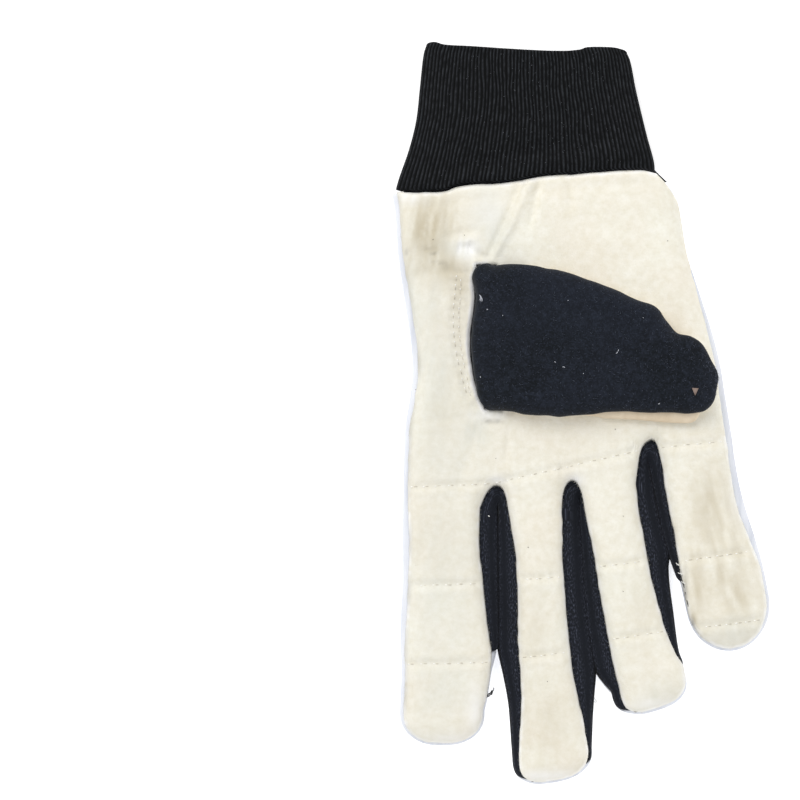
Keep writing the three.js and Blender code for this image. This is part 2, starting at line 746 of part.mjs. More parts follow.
// Thumb front: chamois lying on the palm, its edges rolled up to the black knit
function thumbFront() {
  const body = THUMB.slice(THUMB_FRONT_FIRST);
  const shares = steps(THUMB_FRONT_ACROSS);
  const plan = body.map((row) => shares.map((share) => thumbPoint(row, share)));
  const low = plan.map((row) => row[0]);
  const high = plan.map((row) => row.at(-1));
  const outline = [...low, ...high.toReversed()];
  const out = sideways(outline);
  const inset = outline.map(([x, y], i) => [x - out[i][0] * TUCK, y - out[i][1] * TUCK]);
  const count = body.length;
  const sheet = new Sheet();
  const flat = body.map((_, j) => {
    const [a, b] = [inset[j], inset[2 * count - 1 - j]];
    return shares.map((share) => [...mix(a, b, share), THUMB_FRONT_Z]);
  });
  sheet.grid(flat);
  const height = (THUMB[THUMB_FRONT_FIRST].edge - GAP - THUMB_FRONT_Z) / 2;
  const shape = { roll: TUCK + THUMB_FRONT_PROUD, height, turn: Math.PI / 2 };
  sheet.grid(inset.map((base, i) => rolledEdge(base, out[i], THUMB_FRONT_Z, shape, ROLL_STEPS)), true);
  return thicken(sheet, THUMB_FRONT_WALL);
}

// Cuff: a flattened tube of rib knit, doubled, its lower end tucked into the hand
function cuff() {
  const rows = [
    { rise: -CUFF_TUCK, share: 0, tucked: 1 },
    { rise: CUFF_STEP.from, share: 0, tucked: 1 },
    { rise: CUFF_STEP.to, share: 0, tucked: 0 },
    ...CUFF_ROWS.map((share) => ({ rise: 0, share, tucked: 0 })),
  ];
  const columns = 4 * CUFF_RIBS;
  const sheet = new Sheet();
  sheet.grid(
    rows.map(({ rise, share, tucked }) =>
      Array.from({ length: columns + 1 }, (_, i) => {
        const angle = (2 * Math.PI * (i % columns)) / columns;
        return cuffPoint(angle, i % 2, rise, share, tucked);
      }),
    ),
    true,
  );
  return thicken(sheet, (i) => CUFF_WALL - (i % 2) * CUFF_RIB_DEPTH);
}

// A point of the cuff's outside: a squarish oval section, equal steps across the width
function cuffPoint(angle, valley, rise, share, tucked) {
  const left = read(CUFF_SIDES, "v", "left", share) + tucked * CUFF_TUCK_INSET;
  const right = read(CUFF_SIDES, "v", "right", share) - tucked * CUFF_TUCK_INSET;
  const power = 2 / CUFF_ROUNDNESS;
  const wide = Math.sign(Math.cos(angle)) * Math.abs(Math.cos(angle)) ** CUFF_CROWDING;
  const tall = Math.sign(Math.sin(angle)) * Math.abs(Math.sin(angle)) ** power;
  const x = lerp(left, right, (wide + 1) / 2);
  const height = lerp(CUFF_HEIGHT_SEAM, CUFF_HEIGHT_TOP, share);
  const floor = tucked * (BACK_WALL + GAP);
  const ceiling = tucked ? PALM_TOP - CHAMOIS_WALL - GAP - CUFF_TUCK_ROOM : height;
  const rib = valley * CUFF_RIB_DEPTH * Math.abs(tall);
  const z = lerp(floor, ceiling, (tall + 1) / 2) - Math.sign(tall) * rib;
  const [, seamY] = seamPoint(clamp(x, CUFF_SEAM[0].x, CUFF_SEAM.at(-1).x));
  const topY = read(CUFF_TOP, "x", "y", x);
  return [x, lerp(seamY + rise, topY, share), z];
}

const COLOURS = { chamois: 0xefe9d9, white: 0xe4e6ea, knit: 0x22262e, rib: 0x1b1d21 };

function material(colour, roughness) {
  return new THREE.MeshStandardMaterial({ color: colour, roughness, metalness: 0, side: THREE.DoubleSide });
}

function piece(name, geometry, colour, roughness) {
  const mesh = new THREE.Mesh(geometry, material(colour, roughness));
  mesh.name = name;
  return mesh;
}

const glove = new THREE.Group();
glove.add(piece("palm_panel", palmPanel(), COLOURS.chamois, 0.95));
glove.add(piece("back_panel", backPanel(), COLOURS.white, 0.85));
SLOTS.forEach((slot, i) => {
  const geometry = fourchette(slot, FINGERS[i], FINGERS[i + 1]);
  glove.add(piece("fourchette_" + slot.name, geometry, COLOURS.knit, 0.9));
});
glove.add(piece("thumb_back", thumbBack(), COLOURS.knit, 0.9));
glove.add(piece("thumb_front", thumbFront(), COLOURS.chamois, 0.95));
glove.add(piece("cuff", cuff(), COLOURS.rib, 0.9));

export default glove;
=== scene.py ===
# A wicketkeeping inner glove for the right hand, lying palm up with its thumb folded over the palm.
# Shapes are worked out in millimetres and put into the meshes in metres: +X to the little finger's side,
# +Y to the cuff, +Z up out of the palm, the floor at z = 0.
import math

import bpy
import numpy as np
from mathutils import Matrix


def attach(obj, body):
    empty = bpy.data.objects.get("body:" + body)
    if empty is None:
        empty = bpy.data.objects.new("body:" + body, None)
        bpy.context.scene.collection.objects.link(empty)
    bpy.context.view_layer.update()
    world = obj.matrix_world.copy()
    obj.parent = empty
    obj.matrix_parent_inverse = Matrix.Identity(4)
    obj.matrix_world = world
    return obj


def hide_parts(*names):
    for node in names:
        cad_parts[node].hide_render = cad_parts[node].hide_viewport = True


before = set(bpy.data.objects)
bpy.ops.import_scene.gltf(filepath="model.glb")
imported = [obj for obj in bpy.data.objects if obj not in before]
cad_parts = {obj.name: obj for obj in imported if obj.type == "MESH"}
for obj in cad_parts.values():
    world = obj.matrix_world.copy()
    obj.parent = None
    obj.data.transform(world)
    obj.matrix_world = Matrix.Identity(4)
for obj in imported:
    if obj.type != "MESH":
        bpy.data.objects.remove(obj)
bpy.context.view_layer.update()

# Camera: straight above the middle of the photograph, far enough off that the glove's height shifts little.
# The glove lies in the right half of the frame, which is 800 pixels of 0.35 mm across.
MM = 0.001
FRAME_WIDTH = 280 * MM
FRAME_CENTRE = (-63.5 * MM, 4.4 * MM)
CAMERA_HEIGHT = 2.0
FOCUS_HEIGHT = 10 * MM
SENSOR = 36.0

camera = bpy.data.objects.new("camera", bpy.data.cameras.new("camera"))
camera.data.sensor_width = SENSOR
camera.data.lens = SENSOR * (CAMERA_HEIGHT - FOCUS_HEIGHT) / FRAME_WIDTH
camera.location = (*FRAME_CENTRE, CAMERA_HEIGHT)
bpy.context.scene.collection.objects.link(camera)
bpy.context.scene.camera = camera


# Floor and light: a white light table under a soft studio light, brighter from the cuff's side and the left.
# Its matt acrylic glows a little from below, which leaves the glove only a faint shadow.
def linear(colour):
    """An sRGB hex colour as linear red, green, blue and 1: a straight line up to 0.04, then a 2.4 power."""
    parts = [int(colour[i:i + 2], 16) / 255 for i in (1, 3, 5)]
    return (*[c / 12.92 if c <= 0.04045 else ((c + 0.055) / 1.055) ** 2.4 for c in parts], 1.0)


def add(tree, kind, inputs=None, **settings):
    """Adds a shader node with its settings, its sockets filled with values or linked to other nodes."""
    made = tree.nodes.new("ShaderNode" + kind)
    for name, value in settings.items():
        setattr(made, name, value)
    for socket, value in (inputs or {}).items():
        if isinstance(value, bpy.types.NodeSocket):
            tree.links.new(value, made.inputs[socket])
        else:
            made.inputs[socket].default_value = value
    return made


def new_material(name):
    """A material with an empty node tree."""
    material = bpy.data.materials.new(name)
    material.use_nodes = True
    material.node_tree.nodes.clear()
    return material


def surface(tree, sockets):
    """Ends a material's tree in one Principled shader with the given sockets."""
    shader = add(tree, "BsdfPrincipled", sockets)
    add(tree, "OutputMaterial", {"Surface": shader.outputs[0]})


FLOOR_HALF = 3.0
FLOOR_DROP = 0.1 * MM
LIGHTS = [
    {"name": "key", "place": (-0.9, 1.2, 1.7), "size": 1.3, "watts": 24.0},
    {"name": "fill", "place": (1.3, -0.6, 1.5), "size": 1.4, "watts": 7.5},
]
SKY_STRENGTH = 0.62

table_top = new_material("white_acrylic_lit_from_below")
surface(table_top.node_tree, {
    "Base Color": linear("#fbfbfb"),
    "Roughness": 0.75,
    "Emission Color": linear("#ffffff"),
    "Emission Strength": 0.45,
})
floor_mesh = bpy.data.meshes.new("floor")
floor_corners = [(x, y, -FLOOR_DROP) for x, y in ((-1, -1), (1, -1), (1, 1), (-1, 1))]
floor_mesh.from_pydata([(x * FLOOR_HALF, y * FLOOR_HALF, z) for x, y, z in floor_corners], [], [(0, 1, 2, 3)])
floor_mesh.materials.append(table_top)
floor = bpy.data.objects.new("floor", floor_mesh)
bpy.context.scene.collection.objects.link(floor)

for light in LIGHTS:
    lamp = bpy.data.objects.new(light["name"], bpy.data.lights.new(light["name"], "AREA"))
    lamp.data.size = light["size"]
    lamp.data.energy = light["watts"]
    lamp.location = light["place"]
    lamp.rotation_mode = "QUATERNION"
    lamp.rotation_quaternion = lamp.location.to_track_quat("Z", "Y")
    bpy.context.scene.collection.objects.link(lamp)

sky = bpy.data.worlds.new("studio")
sky.use_nodes = True
sky.node_tree.nodes.clear()
sky_light = add(sky.node_tree, "Background", {"Color": linear("#ffffff"), "Strength": SKY_STRENGTH})
add(sky.node_tree, "OutputWorld", {"Surface": sky_light.outputs[0]})
bpy.context.scene.world = sky
bpy.context.scene.view_settings.view_transform = "Standard"


# Palm panel: one piece of napped chamois leather, the palm and the four finger fronts, quilted over thin
# padding by rows of stitches, with a slot where the thumb comes out. Its edge is sewn over the knit.
def table(columns, rows):
    """A table as one array for each named column."""
    return dict(zip(columns.split(), np.array(rows, float).T))


CHAMOIS_WALL = 2.2
GAP = 0.3
SEAM_Z = 8.2
PALM_TOP = 14.0
FINGER_TOP = 12.8
LITTLE_TOP = 12.0
PALM_ROLL = 7.5
TUCK = 1.5
SLANT_START = 0.7

INDEX_EDGE = table("x y rim", [
    [-64.6, 77.0, 1.8],
    [-63.6, 70, 1.6],
    [-62.6, 56, 1.8],
    [-60.2, 41, 2.0],
    [-57.8, 25, 2.0],
    [-57.2, 13, 2.0],
    [-58.8, 2, 1.8],
    [-60.1, -6, 1.7],
    [-60.7, -20, 1.6],
    [-60.7, -33.4, 1.9],
])
LITTLE_EDGE = table("x y rim", [
    [26.4, 83.8, 0.1],
    [32.6, 76, 0.1],
    [34.8, 69, 0.1],
    [37.1, 55, 0.2],
    [40.8, 41, 0.8],
    [44.6, 27, 1.3],
    [47.0, 16, 1.7],
    [48.3, 6, 2.0],
    [50.0, -5, 2.3],
    [51.0, -11, 2.4],
    [51.58, -15.1, 2.2],
])
CUFF_SEAM = table("x y", [
    [-64.6, 77.0],
    [-56, 77.0],
    [-47.8, 77.4],
    [-43.5, 78.9],
    [-38, 79.7],
    [-27, 80.2],
    [-18.7, 81.6],
    [-13.8, 82.5],
    [-1.2, 83.4],
    [12, 84.4],
    [20.5, 84.7],
    [26.4, 83.8],
])
FINGERS = [
    {
        "name": "index", "root": (-48.5, -33.4), "tip": (-49.2, -115.7),
        "tip_start": 0.86, "power": 2.5, "slant": 0, "ends": {-1: 0, 1: 0.62}, "fade": 0.03,
        "sides": table("t palm_left palm_right out_left out_right", [
            [0, 12.2, 13.1, 14.1, 19.0],
            [0.15, 11.6, 12.8, 14.1, 19.2],
            [0.3, 11.9, 14.1, 13.9, 19.3],
            [0.45, 12.3, 15.5, 14.4, 19.4],
            [0.6, 13.0, 17.3, 14.4, 19.4],
            [0.7, 12.8, 17.2, 14.1, 17.6],
            [0.8, 12.9, 15.9, 14.3, 16.4],
            [0.86, 13.2, 14.7, 14.6, 15.4],
        ]),
    },
    {
        "name": "middle", "root": (-16.3, -33.4), "tip": (-11.4, -129.0),
        "tip_start": 0.9, "power": 3, "slant": -0.1, "ends": {-1: 0.998, 1: 0.975}, "fade": 0.04,
        "sides": table("t palm_left palm_right out_left out_right", [
            [0, 9.4, 9.5, 12.4, 16.1],
            [0.1, 8.3, 9.3, 13.0, 16.0],
            [0.2, 7.5, 8.8, 13.5, 16.1],
            [0.4, 8.0, 9.3, 14.4, 16.6],
            [0.5, 8.3, 9.7, 14.9, 17.2],
            [0.6, 8.0, 10.4, 13.5, 18.1],
            [0.7, 8.1, 11.7, 12.6, 17.4],
            [0.8, 9.1, 13.3, 12.5, 16.6],
            [0.9, 10.1, 14.3, 12.3, 15.8],
        ]),
    },
    {
        "name": "ring", "root": (10.3, -26.4), "tip": (25.8, -103.7),
        "tip_start": 0.88, "power": 3, "slant": -0.1, "ends": {-1: 0.994, 1: 0.87}, "fade": 0.05,
        "sides": table("t palm_left palm_right out_left out_right", [
            [0, 10.3, 9.1, 10.7, 14.7],
            [0.1, 10.5, 8.2, 12.0, 14.5],
            [0.25, 10.4, 8.0, 13.8, 15.0],
            [0.33, 10.6, 7.9, 14.9, 15.5],
            [0.4, 10.9, 7.8, 15.7, 13.9],
            [0.5, 11.0, 8.1, 16.6, 12.9],
            [0.65, 11.3, 9.0, 17.7, 12.4],
            [0.78, 11.3, 10.9, 17.9, 12.4],
            [0.84, 11.0, 12.6, 15.8, 13.1],
            [0.88, 10.9, 12.6, 13.8, 12.9],
        ]),
    },
    {
        "name": "little", "root": (40.8, -17.3), "tip": (54.2, -82.3),
        "tip_start": 0.76, "power": 2, "slant": 0, "ends": {-1: 0.64, 1: 0}, "fade": 0.08,
        "sides": table("t palm_left palm_right out_left out_right", [
            [0, 12.6, 11.0, 16.6, 13.2],
            [0.15, 13.2, 10.4, 16.6, 12.9],
            [0.3, 13.2, 10.6, 16.7, 13.4],
            [0.45, 13.6, 12.4, 15.8, 14.5],
            [0.6, 14.0, 13.9, 14.5, 15.2],
            [0.76, 14.0, 13.9, 14.3, 15.2],
        ]),
    },
]
SLOTS = [
    {"name": "index_middle", "apex": (-29.6, -25.7), "shoulder": 0.35, "crotch": (-29.1, -32.6)},
    {"name": "middle_ring", "apex": (-4.2, -24.3), "shoulder": 0.4, "crotch": (0, -31.2)},
    {"name": "ring_little", "apex": (23.4, -10.0), "shoulder": 0.7, "crotch": (23.6, -18.6)},
]

# The thumb slot's two long edges, by share of the way from the cuff seam to the finger roots
HOLE_LEFT = table("v x y", [
    [0, -46, 77.96],
    [0.26, -36.6, 51.2],
    [0.3, -37.6, 46.5],
    [0.36, -37.2, 40],
    [0.5, -38.9, 25],
    [0.63, -37.6, 12.8],
    [0.7, -35.6, 5],
    [0.74, -34.0, 1.6],
    [1, -35.4, -33.4],
])
HOLE_RIGHT = table("v x y", [
    [0, -36, 79.82],
    [0.26, -29.5, 51],
    [0.5, -30.5, 26],
    [0.74, -28.2, 1.2],
    [1, -25.7, -33.9],
])
HOLE_TOP = 0.26
HOLE_END = 0.74


def smooth(value, start, end):
    """From 0 at start to 1 at end, level at both: three squares less two cubes of the share between."""
    k = np.clip((value - start) / (end - start), 0, 1)
    return k * k * (3 - 2 * k)


def blend(a, b, k):
    """From a at share 0 to b at share 1, in a straight line."""
    return a + (b - a) * k


def read(rows, key, column, at):
    """A column's value where the key column reads at: a cubic between rows, sloped by their neighbours."""
    keys, values = rows[key], rows[column]
    last = len(keys) - 1
    at = np.asarray(at, float)
    i = np.searchsorted(keys[1:-1], at)
    span = keys[i + 1] - keys[i]
    k = np.clip((at - keys[i]) / span, 0, 1)
    low, high = np.maximum(np.arange(last + 1) - 1, 0), np.minimum(np.arange(last + 1) + 1, last)
    slopes = (values[high] - values[low]) / (keys[high] - keys[low])
    bend = k * (1 - k) * ((1 - k) * slopes[i] - k * slopes[i + 1]) * span
    return blend(values[i], values[i + 1], k * k * (3 - 2 * k)) + bend


def curve(points, at):
    """Places on a smooth curve through points, numbered from 0: a cubic between two points, its slopes half
    the way between their neighbours."""
    last = len(points) - 1
    i = np.minimum(at.astype(int), last - 1)
    k = (at - i)[:, None]
    numbers = np.arange(last + 1)
    slopes = (points[np.minimum(numbers + 1, last)] - points[np.maximum(numbers - 1, 0)]) / 2
    bend = k * (1 - k) * ((1 - k) * slopes[i] - k * slopes[i + 1])
    return blend(points[i], points[i + 1], k * k * (3 - 2 * k)) + bend


def lengths(line):
    """How far along a line of points each one is."""
    return np.concatenate([[0], np.cumsum(np.linalg.norm(np.diff(line, axis=0), axis=1))])


def along(rows, shares):
    """Points at shares of the length of the smooth curve through a table's x and y."""
    points = np.stack([rows["x"], rows["y"]], 1)
    fine = curve(points, np.linspace(0, len(points) - 1, 60 * len(points)))
    gone = lengths(fine)
    return np.stack([np.interp(shares * gone[-1], gone, fine[:, c]) for c in (0, 1)], 1)


def on_finger(finger, t, offset, inset=0.0):
    """Points of a finger: t of its length along it less an inset, and an offset across it. Near the tip the
    slant moves a point along by a share of its offset."""
    root, tip = np.array(finger["root"]), np.array(finger["tip"])
    length = math.dist(root, tip)
    down = (tip - root) / length
    across = np.array([-down[1], down[0]])
    reach = t * length - inset + finger["slant"] * offset * smooth(t, SLANT_START, 1)
    return root + np.multiply.outer(reach, down) + np.multiply.outer(offset, across)


def finger_rows(finger, step, tip_rows):
    """Shares of a finger's length for its rows, and the share of the width there: whole down the shaft, then
    a superellipse's sine and cosine round the tip."""
    start = finger["tip_start"]
    count = round(start * math.dist(finger["root"], finger["tip"]) / step)
    angle = np.linspace(0, np.pi / 2, tip_rows)
    power = 2 / finger["power"]
    t = np.concatenate([np.linspace(0, start, count)[:-1], start + (1 - start) * np.sin(angle) ** power])
    width = np.concatenate([np.ones(count - 1), np.abs(np.cos(angle)) ** power])
    width[-1] = 0
    return t, width


CROTCH_SHOULDER = 0.35


def finger_side(finger, side, t):
    """One side of a finger: its chamois's half width, how far the side bulges, and how much of the black
    strip is there: it fades out before its end."""
    hand = "left" if side < 0 else "right"
    at = np.minimum(t, finger["tip_start"])
    palm = read(finger["sides"], "t", "palm_" + hand, at)
    out = read(finger["sides"], "t", "out_" + hand, at)
    end = finger["ends"][side]
    strip = 1 - smooth(t, end - finger["fade"], end) if end else np.zeros_like(t)
    return palm, out, strip


def arch(start, end, apex, shoulder, steps):
    """A rounded arch from start over the apex to end: across by a cosine, and towards the apex by the sine's
    square times one plus the shoulder's part of the cosine's square."""
    start, end, apex = np.array(start), np.array(end), np.array(apex)
    angle = np.linspace(0, np.pi, steps + 1)[:, None]
    middle = (start + end) / 2
    pull = np.sin(angle) ** 2 * (1 + shoulder * np.cos(angle) ** 2)
    return middle + (start - end) / 2 * np.cos(angle) + (apex - middle) * pull


def cuff_seam(x):
    """The y of the seam between hand and cuff at the given x, level past its ends."""
    return read(CUFF_SEAM, "x", "y", np.clip(x, CUFF_SEAM["x"][0], CUFF_SEAM["x"][-1]))


def seam_points(x):
    """Points of the seam between hand and cuff at the given x."""
    return np.stack([x, cuff_seam(x)], -1)


EDGE_CROWDING = 0.7


def crowded(count, crowding):
    """Shares from 0 to 1 that crowd at both ends: even steps mixed with a cosine's."""
    even = np.linspace(0, 1, count + 1)
    return blend(even, (1 - np.cos(np.pi * even)) / 2, crowding)


def coons(top, bottom, left, right):
    """A grid that fills the space between four lines: top to bottom plus left to right, less the corners."""
    u = ((bottom[:, 0] - bottom[0, 0]) / (bottom[-1, 0] - bottom[0, 0]))[None, :, None]
    v = np.linspace(0, 1, len(left))[:, None, None]
    down = blend(top[None], bottom[None], v)
    over = blend(left[:, None], right[:, None], u)
    corners = blend(blend(top[0], top[-1], u), blend(bottom[0], bottom[-1], u), v)
    return down + over - corners


def panel_plan(across, over, rows, step, tip_rows, inset, half, side_line, slot_line):
    """A panel seen from above: grids that fill the palm and the fingers, and the line round its sides, slots
    and tips. half gives a finger's half width, side_line a side of the palm, and slot_line a slot's arch."""
    shares = crowded(across, EDGE_CROWDING)
    fingers = []
    for finger in FINGERS:
        t, width = finger_rows(finger, step, tip_rows)
        back = inset * smooth(t, finger["tip_start"], 1)
        left = on_finger(finger, t, -half(finger, -1, t) * width, back)
        right = on_finger(finger, t, half(finger, 1, t) * width, back)
        fingers.append(blend(left[:, None], right[:, None], shares[:, None]))
    arches = [slot_line(slot, fingers[i][0, -1], fingers[i + 1][0, 0], over) for i, slot in enumerate(SLOTS)]
    left, right = side_line(INDEX_EDGE, rows), side_line(LITTLE_EDGE, rows)
    left[-1], right[-1] = fingers[0][0, 0], fingers[3][0, -1]
    hole = []
    for edge, end in ((HOLE_LEFT, arches[0][0]), (HOLE_RIGHT, arches[0][-1])):
        line = np.stack([read(edge, "v", column, rows) for column in ("x", "y")], 1)
        line[0] = seam_points(line[0, 0])
        line[-1] = end
        hole.append(line)
    root_index = fingers[0][0]
    far_roots = [fingers[1][0], arches[1][1:], fingers[2][0][1:], arches[2][1:], fingers[3][0][1:]]
    root_far = np.concatenate(far_roots)

    def seam(start, end, below):
        share = (below[:, 0] - below[0, 0]) / (below[-1, 0] - below[0, 0])
        return seam_points(blend(start[0], end[0], share))

    first, last = np.searchsorted(rows, [HOLE_TOP - 1e-9, HOLE_END - 1e-9])
    cross = (arches[0][:, 0] - arches[0][0, 0]) / (arches[0][-1, 0] - arches[0][0, 0])
    top_line, end_line = [blend(hole[0][row], hole[1][row], cross[:, None]) for row in (first, last)]
    top_left, top_right = seam(left[0], hole[0][0], root_index), seam(hole[1][0], right[0], root_far)
    top_left[0], top_right[-1] = left[0], right[0]
    before, span = [line[:first + 1] for line in hole], [line[first:last + 1] for line in hole]
    parts = {
        "index": coons(top_left, root_index, left, hole[0]),
        "above": coons(seam(hole[0][0], hole[1][0], arches[0]), top_line, *before),
        "hole": coons(top_line, end_line, *span),
        "below": coons(end_line, arches[0], hole[0][last:], hole[1][last:]),
        "rest": coons(top_right, root_far, hole[1], right),
    }
    outline = [left]
    for i, finger in enumerate(fingers):
        outline += [finger[1:, 0], finger[::-1, -1][1:]]
        if i < 3:
            outline.append(arches[i][1:])
    outline.append(right[::-1][1:])
    rim = np.concatenate([top_line, span[1][1:], end_line[::-1][1:], span[0][::-1][1:]])
    return {"parts": parts, "fingers": fingers, "outline": np.concatenate(outline), "hole": rim}


def near(line, x, y):
    """How far points are from a line of points, and how far along the line their nearest place is."""
    best, place, gone = np.full(x.shape, np.inf), np.zeros(x.shape), 0.0
    for (ax, ay), (bx, by) in zip(line[:-1], line[1:]):
        dx, dy = bx - ax, by - ay
        length = math.hypot(dx, dy)
        if length == 0:
            continue
        k = np.clip(((x - ax) * dx + (y - ay) * dy) / length ** 2, 0, 1)
        distance = np.hypot(x - ax - k * dx, y - ay - k * dy)
        place = np.where(distance < best, gone + k * length, place)
        best = np.minimum(best, distance)
        gone += length
    return best, place


def dome(share):
    """A quarter circle's rise from 0 to 1."""
    return np.sqrt(1 - (1 - np.clip(share, 0, 1)) ** 2)


def bell(distance, width):
    """A bell from 1 to 0: e to the power of minus the square of distance over width."""
    return np.exp(-(distance / width) ** 2)


def noise(x, y, size, seed):
    """Smooth random height from -1 to 1: random values on a lattice of that size, joined by cubics."""
    values = np.random.default_rng(seed).uniform(-1, 1, (256, 256))
    i, j = np.floor(x / size).astype(int), np.floor(y / size).astype(int)
    a, b = smooth(x / size - i, 0, 1), smooth(y / size - j, 0, 1)
    near_row = blend(values[i % 256, j % 256], values[(i + 1) % 256, j % 256], a)
    far_row = blend(values[i % 256, (j + 1) % 256], values[(i + 1) % 256, (j + 1) % 256], a)
    return blend(near_row, far_row, b)


# Folds of the palm: a segment, its height (below zero for a groove) and half its width
FOLDS = table("x1 y1 x2 y2 height width", [
    [-20.5, 82, -26.8, 66.7, -1.3, 1.5],
    [-26.8, 66.7, -32, 55.5, -1.2, 1.3],
    [-17.7, 82, -24.3, 66.7, 1.2, 2.0],
    [-24.3, 66.7, -31, 54.5, 1.0, 1.6],
    [-14.2, 82, -18, 66, -1.0, 1.5],
    [-4, 83, -3.5, 72, -0.9, 1.8],
    [8, 84, 7, 77, -0.3, 2.2],
    [-57, 74, -56, 58, -0.5, 1.5],
    [-53, 74, -52.5, 62, -0.8, 1.2],
    [-50, 73, -49, 60, 0.5, 1.3],
    [-46.5, 72, -46, 62, -0.5, 1.5],
    [-43.5, 59.5, -37.5, 60.5, 1.2, 1.3],
    [-37.5, 60.5, -34, 56, 1.0, 1.2],
    [-44.5, 57, -41, 51, 0.8, 1.6],
    [-40, 58, -35.5, 54, -0.7, 0.9],
    [-47, 61.5, -37, 63.5, -0.6, 1.4],
    [-36, 64, -33, 70, -0.4, 3.5],
    [-36.5, 0.6, -31, -2.2, 0.7, 1.0],
    [-31, -2.2, -24, -1.6, 0.6, 0.9],
    [-33, -4, -27, -3.6, -0.5, 0.9],
    [-24.9, -2.5, -26.5, -17, -0.5, 1.2],
    [-54, 55, -48, 54, -1.3, 6],
    [-59, 48.5, -44, 50, -0.45, 1.8],
    [-35.5, -4, -45, -30, -0.5, 2.4],
    [-60, -3.3, -35.5, -1.6, -0.3, 1.4],
    [40.9, -19, 43.8, -45, 0.5, 1.3],
    [45, -19, 50.8, -46, -0.6, 1.5],
    [47.5, -20, 53.5, -46, 0.5, 1.5],
    [49.6, -32, 57.8, -47, -0.5, 1.4],
    [45.6, -52, 48.5, -70, -0.5, 1.2],
    [50.8, -54, 53, -72, 0.5, 1.3],
    [54.3, -52, 56.5, -67, -0.55, 1.3],
])
# Quilting: a line from edge to edge of each finger, at two places, and one across the knuckles
PALM_QUILT = np.array([
    (-60.7, -26.1), (-31.3, -24.9), (-15.2, -21.2), (-2.6, -18.4), (20.5, -13.1), (28.5, -12.1), (53.7, -9.6),
])
FINGER_QUILTS = [
    np.array([[(-62, -60.7), (-32.5, -59.7)], [(-62, -88.0), (-30, -87.3)]]),
    np.array([[(-24.5, -58.6), (-3, -57.2)], [(-23, -86.0), (-1.5, -83.4)]]),
    np.array([[(5.5, -54.0), (26, -51.6)], [(9.5, -79.4), (28.5, -76.6)]]),
    np.array([[(32, -52.4), (62, -48.1)], [(38.5, -75.4), (66, -72.2)]]),
]
STITCH_PITCH = 3.6
QUILT_DEPTH = 0.75
QUILT_WIDTH = 1.25
PUCKER = 0.3
RELIEF_START = 3.5
# The two rows that hold the thumb, to the left of its root
THUMB_ROWS = [
    np.array([
        (-43.75, 49.2), (-44.3, 42.2), (-45, 33.4), (-44.6, 25.4), (-43.2, 17.7), (-41.1, 9.6), (-40.1, 5.4),
    ]),
    np.array([
        (-42.5, 48.8), (-42.3, 43.2), (-43, 33.8), (-42.7, 25.4), (-41.3, 17.7), (-39.6, 9.6), (-38.7, 6.1),
    ]),
]
THUMB_ROW_PITCH = 3.3
THUMB_ROW_DEPTH = 0.45
THUMB_ROW_WIDTH = 0.9
# Where the leather is turned in at the cuff and hemmed at the thumb: how far it dips at its edge, over what
# reach, and the bank behind that (below zero a groove), with its distance from the edge and its width
CUFF_TURN = {"dip": 1.6, "reach": 2.2, "bank": -0.25, "at": 5, "width": 1.6}
THUMB_HEM = {"dip": 0.6, "reach": 0.8, "bank": 0.6, "at": 1.5, "width": 0.9}
# Slow swells and fine unevenness: size, rise and seed
SWELLS = [(17, 0.35, 1), (6, 0.14, 2), (2.2, 0.05, 3)]

# Fine lengthwise wrinkles: a patch's centre, its size and how high they stand
WRINKLES = table("x y width height rise", [
    [-40, 57, 5, 4, 0.6],
    [-33, -1, 5, 3, 0.35],
    [-54, 62, 9, 14, 0.3],
    [-50, 42, 8, 10, 0.1],
    [51, -42, 9, 17, 0.26],
    [52, -66, 10, 12, 0.2],
    [-14, -108, 9, 16, 0.1],
    [12, 70, 14, 10, 0.08],
])
WRINKLE_WIDTH = 1.5
WRINKLE_STRETCH = 8
# Streaks and wrinkles run together towards the cuff, by this share for each millimetre
FAN = 0.004


def wrinkled(x, y):
    """Relief of fine wrinkles that run towards the finger tips, strongest in the middle of each patch."""
    ridges = noise(x * (1 + FAN * y), y / WRINKLE_STRETCH, WRINKLE_WIDTH, 51)
    rise = sum(
        rise * bell(np.hypot((x - cx) / width, (y - cy) / height), 1)
        for cx, cy, width, height, rise in zip(*WRINKLES.values())
    )
    return rise * ridges


def stitched(line, pitch, depth, width, x, y):
    """Relief of leather pulled down along a row of stitches: a groove, deeper at each needle hole, with a
    bank on either side that swells between the holes."""
    distance, place = near(line, x, y)
    beat = np.cos(2 * np.pi * place / pitch)
    groove = -depth * bell(distance, width) * (0.75 + 0.25 * beat)
    hole = -0.15 * bell(distance, 0.7) * bell((1 - beat) / 2, 0.25)
    bank = PUCKER * bell(distance - 2.1 * width, width) * (0.65 - 0.35 * beat)
    return groove + hole + bank


def turned_in(distance, turn):
    """How far leather drops near a turned edge: a quarter circle to the edge, less a bell for its bank."""
    drop = turn["dip"] * (1 - dome(distance / turn["reach"]))
    return drop - turn["bank"] * bell(distance - turn["at"], turn["width"])


